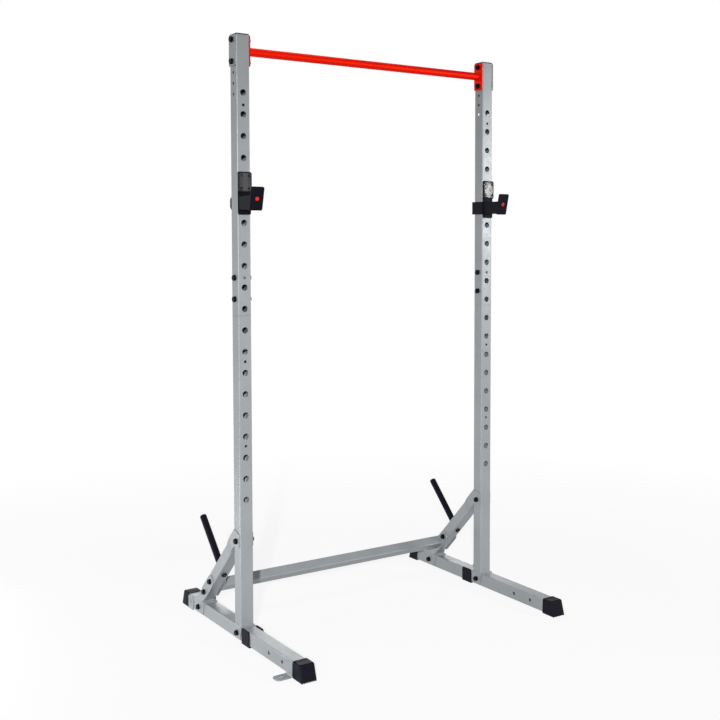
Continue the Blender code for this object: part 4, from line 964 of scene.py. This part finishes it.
cross_middle = along_brace(UPRIGHT_Y * Y, CROSS_ALONG, -CROSS_BELOW)
cross_gap = BRACE_SIZE / 2 + SEAT
reach = UPRIGHT_X - cross_gap - PLATE
tube = square_tube(Shape(), cross_middle, DOWN, RISE, (-reach, reach), CROSS_SIZE, CROSS_CORNER)
tube.make("crossbar", WALL, TUBE_EDGE)
for side_name, side in SIDES.items():
    names = ["%s_%s" % (name, side_name) for name in ("crossbar_lug", "crossbar_backing", "crossbar_weld")]
    bar_end("crossbar", names, rectangle(LUG_WIDTH, LUG_LENGTH, LUG_ROUND, 10),
            rectangle(CROSS_SIZE, CROSS_SIZE, CROSS_CORNER), cross_middle, (RISE, DOWN), cross_gap, side)
print("crossbar %.0f mm long" % (2000 * reach))

low, high = corners("bar_backing_left")
plate_outline = rectangle(high[1] - low[1], high[2] - low[2], BAR_PLATE_ROUND)
bar_middle = UPRIGHT_Y * Y + BAR_HEIGHT * Z
bar_gap = TUBE / 2 + SEAT
reach = UPRIGHT_X - bar_gap - PLATE
ring = lift(disc(BAR_RADIUS, BAR_SIDES), bar_middle, Y, Z)
rings = np.stack([ring + x * X for x in np.linspace(-reach, reach, 25)])
Shape().grid(rings, around=True).make("pull_up_bar")
for side_name, side in SIDES.items():
    names = ["%s_%s" % (name, side_name) for name in ("bar_plate", "bar_backing", "bar_weld")]
    bar_end("pull_up_bar", names, plate_outline, disc(BAR_RADIUS, 48), bar_middle, (Y, Z), bar_gap, side)
print("pull-up bar at %.0f mm" % (1000 * BAR_HEIGHT))

# %% [markdown]
# ## Storage pegs
# Each peg is a black round tube bolted square to the brace, closed by a domed plastic cap.

# %% Storage pegs
PEG_ALONG, PEG_RADIUS, PEG_LENGTH = 0.2535, 0.0127, 0.206
PEG_HOLE, PEG_TURN, PEG_SIDES = 0.0053, 0.0006, 48
CAP_STEM, CAP_RIM, CAP_DOME, CAP_TURN = 0.015, 0.002, 0.006, 0.0004

for side_name, side in SIDES.items():
    seat = along_brace(FOOT[side], PEG_ALONG, BRACE_SIZE / 2 + SEAT)
    profile = [(PEG_HOLE, 0.0), (PEG_RADIUS - PEG_TURN, 0.0), (PEG_RADIUS, PEG_TURN)]
    profile += fillet(PEG_RADIUS, PEG_LENGTH, PEG_TURN, 3) + [(PEG_RADIUS - WALL, PEG_LENGTH)]
    turned(Shape(), profile, seat, RISE, PEG_SIDES).make("storage_peg_" + side_name)
    rim, stem = PEG_LENGTH + SEAT, PEG_RADIUS - WALL - SEAT
    profile = [(stem, PEG_LENGTH - CAP_STEM), (stem, rim)]
    profile += [(PEG_RADIUS - CAP_TURN, rim), (PEG_RADIUS, rim + CAP_TURN)]
    profile += [(PEG_RADIUS * math.cos(t) ** 0.7, rim + CAP_RIM + CAP_DOME * math.sin(t))
                for t in np.linspace(0, math.pi / 2, 10)[:-1]] + [(CAP_TURN, rim + CAP_RIM + CAP_DOME)]
    turned(Shape(), profile, seat, RISE, PEG_SIDES).make("peg_cap_" + side_name)
print("pegs %.0f mm long" % (1000 * PEG_LENGTH))

# %% [markdown]
# ## Bolts
# A hexagon head is a hexagon cut by a cone, which gives each flat its curved upper edge. Going
# round the head, the hexagon's radius is half the width across flats over the cosine of the angle
# from the nearest flat. Where that is more than the chamfer circle, the side stops lower by the
# difference times the tangent of the chamfer angle. The head's middle is dished, and the nut's is
# a low dome, because the nuts are capped.

# %% Bolts
HEX_FLATS, HEX_CIRCLE, HEX_SIDES = 0.017, 0.985, 72
CHAMFER = math.radians(28)
WASHER_RADIUS, WASHER_THICK, WASHER_TURN = 0.0105, 0.002, 0.0003
BOLT_RADIUS = 0.005
HEAD_HEIGHT, NUT_HEIGHT, NUT_CAP, CAP_RADIUS, CAP_STEP = 0.0065, 0.007, 0.003, 0.0062, 0.0006
PEG_HEAD, PEG_BOLT_REACH = 0.004, 0.029
DISH = [(0.0066, 0.0), (0.0061, -0.0005), (0.0035, -0.0008), (0.0006, -0.0008)]
DOME = [(CAP_RADIUS + CAP_STEP, 0.0)]
DOME += [(CAP_RADIUS * math.cos(t), CAP_STEP + (NUT_CAP - CAP_STEP) * math.sin(t))
         for t in np.linspace(0, 1.5, 8)]


def hexagon(shape, height, origin, axis, crown):
    """Washer, then a head or nut on it. The crown is its middle, a list of (radius, rise)."""
    profile = [(BOLT_RADIUS, 0.0), (WASHER_RADIUS - WASHER_TURN, 0.0), (WASHER_RADIUS, WASHER_TURN)]
    profile += [(WASHER_RADIUS, WASHER_THICK - 0.0004), (WASHER_RADIUS - 0.0004, WASHER_THICK)]
    turned(shape, profile + [(BOLT_RADIUS, WASHER_THICK)], origin, axis, 40)
    origin = origin + WASHER_THICK * axis
    first = Y if abs(axis[1]) < 0.5 else X
    first = first - axis * (first @ axis)
    first = first / np.linalg.norm(first)
    angle = np.linspace(0, 2 * math.pi, HEX_SIDES, endpoint=False)
    bend = (angle + math.pi / 6) % (math.pi / 3) - math.pi / 6
    radius = HEX_FLATS / 2 / np.cos(bend)
    circle = HEX_FLATS / 2 * HEX_CIRCLE
    lowered = height - (radius - circle) * math.tan(CHAMFER)
    rows = [(radius * HEX_CIRCLE, 0), (radius, 0.0003), (radius, lowered), (circle, height)]
    rows += [(r, height + rise) for r, rise in crown]
    turn = np.outer(np.cos(angle), first) + np.outer(np.sin(angle), np.cross(axis, first))
    spread = [np.broadcast_arrays(*row, angle) for row in rows]
    shape.solid(np.stack([origin + r[:, None] * turn + np.outer(h, axis) for r, h, _ in spread]))


def bolt(node, side):
    """A through bolt across X: dished head outside, capped nut inside, a washer under each."""
    low, high = corners(node)
    middle, total = (low + high) / 2, high[0] - low[0]
    head, nut = WASHER_THICK + HEAD_HEIGHT, WASHER_THICK + NUT_HEIGHT + NUT_CAP
    grip = total - head - nut
    inside = middle + side * (total / 2 - head - grip) * X
    shape = Shape()
    hexagon(shape, HEAD_HEIGHT, inside + side * grip * X, side * X, DISH)
    hexagon(shape, NUT_HEIGHT, inside, -side * X, DOME)
    turned(shape, [(BOLT_RADIUS, 0.0), (BOLT_RADIUS, grip)], inside, side * X, 24).make(node)
    return grip


names = ["foot_bolt_%s", "brace_foot_bolt_%s", "brace_top_bolt_%s"]
names += [kind + "_bolt_%s_" + str(k) for kind in ("splice", "bar", "crossbar") for k in (1, 2)]
for side_name, side in SIDES.items():
    grips = [bolt(name % side_name, side) for name in names]
    under = along_brace(FOOT[side], PEG_ALONG, -BRACE_SIZE / 2 - SEAT)
    shape = Shape()
    hexagon(shape, PEG_HEAD, under, -RISE, DISH)
    shank = [(BOLT_RADIUS, 0.0), (BOLT_RADIUS, BRACE_SIZE + PEG_BOLT_REACH)]
    turned(shape, shank, under, RISE, 24).make("peg_bolt_" + side_name)
print("grips", sorted({round(1000 * g, 1) for g in grips}), "mm")

# %% [markdown]
# ## Plugs
# A plastic plug closes each upright. Its rim sits on the tube and its top is slightly crowned. It
# is a stack of square rings, each with its own width, height and corner.

# %% Plugs
STEM = TUBE - 2 * WALL - 0.0006
STEM_CORNER, STEM_TAPER = 0.002, 0.002
CROWN = ((0.0004, 0.0, 0.0038), (0.0, 0.0004, 0.004), (0.0, 0.0018, 0.004), (0.0006, 0.0026, 0.004),
         (0.002, 0.0032, 0.0036), (0.010, 0.0037, 0.003), (0.030, 0.0040, 0.002))

for side_name, side in SIDES.items():
    bottom = corners("top_plug_" + side_name)[0][2]
    rim = UPRIGHT_HIGH[2] + SEAT
    rows = [(STEM - STEM_TAPER, bottom, STEM_CORNER), (STEM, bottom + STEM_TAPER, STEM_CORNER)]
    rows += [(STEM, rim, STEM_CORNER)]
    rows += [(TUBE - narrower, rim + rise, corner) for narrower, rise, corner in CROWN]
    rings = [lift(rectangle(width, width, corner), FOOT[side] + z * Z, X, Y) for width, z, corner in rows]
    Shape().solid(np.stack(rings)).make("top_plug_" + side_name)
print("plugs in")

# %% [markdown]
# ## Catches
# A catch hooks a stub pin into the upright and carries the barbell on a boxed arm behind a leaning
# lip. A strap wraps the upright's inner side and its back, with room behind for the catch to come
# forwards off the upright. Everything here rides on the catch's own body. The plate, lip, strap and
# pin are flat or turned shapes laid together, and the arm is square tube cut square at the plate and
# on the slant at the lip.

# %% Frame of a catch
CATCH_HOLE = 14
PIN_HEIGHT = LOWEST_PIN + CATCH_HOLE * PIN_PITCH
CATCH_PLATE, CATCH_WIDTH = 0.005, 0.049
PLATE_UP, PLATE_DOWN, CATCH_CORNER = 0.1022, 0.0463, 0.006
ARM_HEIGHT, ARM_DROP, ARM_SIZE, ARM_WALL = 0.050, 0.0063, 0.048, 0.003
LIP_REACH, LIP_HEIGHT, LIP_DROP = 0.0965, 0.0825, 0.003
LEAN = math.radians(13.3)
LIP_OUT = np.array((0, -math.cos(LEAN), -math.sin(LEAN)))
LIP_UP = np.array((0, -math.sin(LEAN), math.cos(LEAN)))
STRAP_GAP, STRAP_TURN, STRAP_BEND, STRAP_LAP, TRAVEL = 0.0005, 0.004, 0.008, 0.004, 0.0075
TAIL_ROUND, TAIL_START = 0.014, 0.002
STUB_RADIUS, STUB_LENGTH, STUB_TURN = 0.0095, 0.0125, 0.001


def catch(side_name, side):
    """Frame of one catch: front plate, lip, strap with its round tail, stub pin, arm and weld."""
    node = "catch_frame_" + side_name
    pin = FOOT[side] + PIN_HEIGHT * Z
    arm = pin - ARM_DROP * Z
    back = -TUBE / 2 - SEAT
    front = back - CATCH_PLATE
    half, tall = CATCH_WIDTH / 2, ARM_HEIGHT / 2
    shape = Shape()
    plate(shape, rectangle(CATCH_WIDTH, PLATE_UP + PLATE_DOWN, CATCH_CORNER),
          pin + back * Y + (PLATE_UP - PLATE_DOWN) / 2 * Z, X, Z, -CATCH_PLATE * Y)
    lip_face = arm - (TUBE / 2 + LIP_REACH) * Y
    lip_middle = LIP_HEIGHT / 2 - (tall + LIP_DROP) / math.cos(LEAN)
    plate(shape, rectangle(CATCH_WIDTH, LIP_HEIGHT, CATCH_CORNER), lip_face + lip_middle * LIP_UP, X, LIP_UP,
          -CATCH_PLATE * LIP_OUT)
    inner, rear = TUBE / 2 + STRAP_GAP, TUBE / 2 + SEAT + TRAVEL + SEAT
    outer, end = inner + CATCH_PLATE, -TUBE / 2 + WALL
    root, tail_face = half - STRAP_LAP, rear + CATCH_PLATE
    path = [(root, back), (root, front), (outer, front), (outer, tail_face)]
    path += [(0.0, tail_face), (0.0, rear), (inner, rear), (inner, back)]
    strap = rounded(path, [0, 0, STRAP_TURN, STRAP_BEND, 0, 0, STRAP_BEND - CATCH_PLATE, 0], 8)
    plate(shape, strap, arm - tall * Z, -side * X, Y, ARM_HEIGHT * Z)
    tail = rounded([(TAIL_START, -tall), (TAIL_START, tall), (end, tall), (end, -tall)],
                   [0, 0, TAIL_ROUND, TAIL_ROUND])
    plate(shape, tail, arm + rear * Y, -side * X, Z, CATCH_PLATE * Y)
    stub = [(STUB_RADIUS, 0.0), (STUB_RADIUS, STUB_LENGTH - STUB_TURN)]
    stub += [(STUB_RADIUS - STUB_TURN, STUB_LENGTH)]
    turned(shape, stub, pin + (back - STUB_TURN) * Y, Y, 32)
    shape.make(node, edge=0.0009, steps=3)
    ends = ((lip_face - CATCH_PLATE * LIP_OUT, LIP_OUT), (pin + front * Y, Y))
    boxed = square_tube(Shape(), arm, Z, X, ends, ARM_SIZE)
    boxed.make(node, ARM_WALL, TUBE_EDGE, name="catch_arm_" + side_name)
    weld = bead(Shape(), rectangle(ARM_SIZE, ARM_SIZE, TUBE_CORNER), arm + front * Y, X, Z, radius=0.0018)
    weld.make(node, name="catch_weld_" + side_name)


print("catches at %.0f mm" % (1000 * PIN_HEIGHT))

# %% [markdown]
# A smoked plastic liner takes the barbell's knocks. It is a crowned panel sunk in a black rim, held
# by four screws. Rim and panel are drawn as rings of rectangles, which keeps their corners round,
# and the crown makes a lamp's reflection slide over the panel as the view moves.

# %% Liner of a catch
LINER_EDGE, LINER_CORNER, LEAST_CORNER = 0.0012, 0.008, 0.0015
RIM_WIDTH, PANEL_SINK, PANEL_CROWN = 0.0028, 0.0007, 0.0006
SCREW_RISE, SCREW_IN_X, SCREW_IN_Z = 0.0008, 0.0105, 0.0135
SCREW = [(0.0048, -0.001), (0.0048, 0.0001)]
SCREW += [(0.0048 * math.cos(t), 0.0001 + 0.0006 * math.sin(t)) for t in (0.3, 0.6, 0.9)]
SCREW += [(0.0021, 0.0006), (0.0019, -0.0004), (0.0002, -0.0004)]


def liner(side_name, side):
    """Liner on the front plate: a black rim, a smoked panel sunk in it, and four screws.

    Rim and panel are rings of rectangles, each drawn in by inset and raised by depth; the panel
    rises towards its middle by the crown times one minus the square of the share left to go."""
    node = "catch_liner_" + side_name
    low, high = corners(node)
    width, _, height = high - low
    back, front = high[1], low[1] + SCREW_RISE
    middle = side * UPRIGHT_X * X + (low[2] + high[2]) / 2 * Z
    thick = back - front

    def ring(inset, depth):
        corner = max(LEAST_CORNER, LINER_CORNER - inset)
        outline = rectangle(width - 2 * inset, height - 2 * inset, corner, 8)
        return lift(outline, middle + (back - depth) * Y, X, Z)

    inner, sunk = RIM_WIDTH + PANEL_SINK, thick - PANEL_SINK
    section = [(0.0, 0.0)] + [(LINER_EDGE - r, h) for r, h in fillet(LINER_EDGE, thick, LINER_EDGE)]
    section += [(RIM_WIDTH, thick), (inner, sunk), (inner, 0.0), (0.0, 0.0)]
    rim = Shape().grid(np.stack([ring(*at) for at in section]), around=True)
    rim.make(node, edge=0.0003, name="liner_rim_" + side_name, finish=PLASTIC)
    panel = [ring(inner, 0.0)]
    for share in np.linspace(0, 0.9, 9):
        raised = sunk + PANEL_CROWN * (1 - (1 - share) ** 2)
        panel.append(ring(inner + share * (width / 2 - inner), raised))
    Shape().solid(np.stack(panel)).make(node)
    screws = Shape()
    for u in (-1, 1):
        for v in (-1, 1):
            spot = middle + u * (width / 2 - SCREW_IN_X) * X + v * (height / 2 - SCREW_IN_Z) * Z
            turned(screws, SCREW, spot + front * Y, -Y, 24)
    screws.make(node, name="liner_screws_" + side_name, finish=STEEL)


print("rim %.1f mm wide" % (1000 * RIM_WIDTH))

# %% [markdown]
# A plain red disc sits on each lip. It is turned like a peg, only very flat, with a broken edge.
# With that drawn too, both catches can be put together.

# %% Both catches
BADGE = [(0.0069, -0.0005), (0.0072, -0.0003), (0.0072, 0.0001), (0.0069, 0.0004), (0.0062, 0.0005),
         (0.0004, 0.00052)]
for side_name, side in SIDES.items():
    catch(side_name, side)
    liner(side_name, side)
    node = "catch_badge_" + side_name
    turned(Shape(), BADGE, corners(node).mean(0), LIP_OUT, 48).make(node)
print("liner and disc on each catch")

# %% [markdown]
# ## Studio
# The photograph is a cut-out on white. A big pale floor and a white world give that. The world is
# seen as white only by the camera and in reflections: the light it sheds is weaker, and its top is
# dark like a studio's ceiling. The floor does the same the other way round. To the camera it is a pale
# floor with the rack's shadow on it, and it fades into plain white far from the rack, so no horizon
# shows; to the light that bounces off it, it is grey, as a studio floor is, so the undersides of the
# tubes stay darker than their sides.
#
# The pin holes show where the key light stands: a lit spot inside each tube with a dark crescent at
# its upper left, so the light is small, and a little higher and further left than the camera. It is
# a spot nearly nine metres off that points low, so the light falls off towards the top. Softboxes do
# the rest: one from behind on the left and a low strip for the left sides, one behind for the tops
# of the base tubes, one at the right front for the sheen on the right upright, and one overhead.
# None of the lamps is seen by the camera.

# %% Studio
WORLD_LIGHT, CEILING = 0.19, 0.12
WALL_TOP, CEILING_START = 0.40, 0.75
KEY_PLACE, KEY_TARGET = (-4.72, -6.85, 3.0), (-0.6, 0.0, -0.40)
KEY_POWER, KEY_CONE, KEY_SIZE = 3000, math.radians(44), 0.1
SOFTBOXES = {"left_softbox": ((-3.5, 1.3, 1.4), (-0.2, 0.0, 1.2), (2.4, 1.1), 10),
             "low_softbox": ((-1.75, 0.5, 0.12), (-0.5, 0.0, -0.1), (1.4, 0.2), 9),
             "back_softbox": ((1.4, 3.2, 1.4), (-0.1, 0.0, 0.2), (3.0, 1.2), 25),
             "right_softbox": ((2.9, -2.9, 1.75), (0.5, 0.0, 1.6), (0.8, 1.0), 42),
             "top_softbox": ((0.2, 0.4, 4.4), (0.0, 0.0, 0.5), (2.6, 2.6), 30)}
FLOOR_HALF = 40.0
FLOOR_PALE, FLOOR_SPREAD, FLOOR_GREY = 0.95, 0.01, 0.10
FLOOR_WHITENESS = 0.86
FADE_START, FADE_END = 1.2, 3.2


def seen_directly(field):
    """1 for rays from the camera, in a reflection or through clear matter, and 0 for others."""
    outputs = field.node("ShaderNodeLightPath").socket.node.outputs
    camera_ray, glossy_ray, clear_ray = [Field(field.tree, outputs["Is %s Ray" % kind])
                                         for kind in ("Camera", "Glossy", "Transmission")]
    return (camera_ray + glossy_ray + clear_ray).between(0.0, 1.0)


def hang(lamp, place, target):
    """Hang a lamp where it looks at a point and the camera doesn't see it."""
    lamp_object = bpy.data.objects.new(lamp.name, lamp)
    aim(lamp_object, place, np.subtract(target, place))
    lamp_object.visible_camera = False


world = bpy.data.worlds.new("studio")
bpy.context.scene.world = world
world.use_nodes = True
sky = Field(world.node_tree)
backdrop = world.node_tree.nodes["Background"].inputs
plug(backdrop["Strength"], seen_directly(sky).between(0.0, 1.0, WORLD_LIGHT, 1.0))
height = sky.node("ShaderNodeSeparateXYZ", (), {0: sky.node("ShaderNodeTexCoord")}, output=2)
plug(backdrop["Color"], height.between(WALL_TOP, CEILING_START).blend((1, 1, 1), (CEILING,) * 3))

floor_mesh = bpy.data.meshes.new("floor")
floor_mesh.from_pydata([(FLOOR_HALF * u, FLOOR_HALF * v, 0) for u, v in ((-1, -1), (1, -1), (1, 1), (-1, 1))],
                       [], [(0, 1, 2, 3)])
floor = bpy.data.objects.new("floor", floor_mesh)
bpy.context.scene.collection.objects.link(floor)
floor_paint, floor_shader, place = new_material("floor")
pale = noise(place, 0.5).blend((FLOOR_PALE - FLOOR_SPREAD,) * 3, (FLOOR_PALE + FLOOR_SPREAD,) * 3)
surface(floor_shader, pale, 0.95, Specular_IOR_Level=0.0)
grey = place.node("ShaderNodeBsdfDiffuse", (), {"Color": (FLOOR_GREY,) * 3})
white = place.node("ShaderNodeEmission", (), {"Color": (1, 1, 1), "Strength": 1.0})
distance = place.node("ShaderNodeVectorMath", {"operation": "LENGTH"}, {0: place}, output=1)
fade = distance.between(FADE_START, FADE_END, FLOOR_WHITENESS, 1.0)
painted = Field(floor_paint.node_tree, floor_shader.outputs[0])
lit = fade.node("ShaderNodeMixShader", (), {0: fade, 1: painted, 2: white})
seen = seen_directly(place)
mix = seen.node("ShaderNodeMixShader", (), {0: seen, 1: grey, 2: lit})
plug(floor_paint.node_tree.nodes["Material Output"].inputs["Surface"], mix)
floor_mesh.materials.append(floor_paint)

key = bpy.data.lights.new("key_light", "SPOT")
key.energy, key.shadow_soft_size, key.spot_size, key.spot_blend = KEY_POWER, KEY_SIZE, KEY_CONE, 1.0
hang(key, KEY_PLACE, KEY_TARGET)
for name, (place, target, size, power) in SOFTBOXES.items():
    box = bpy.data.lights.new(name, "AREA")
    box.shape, box.size, box.size_y, box.energy = "RECTANGLE", *size, power
    hang(box, place, target)
print("studio lit")

# %% Finish
scene = bpy.context.scene
scene.view_settings.view_transform = "Standard"
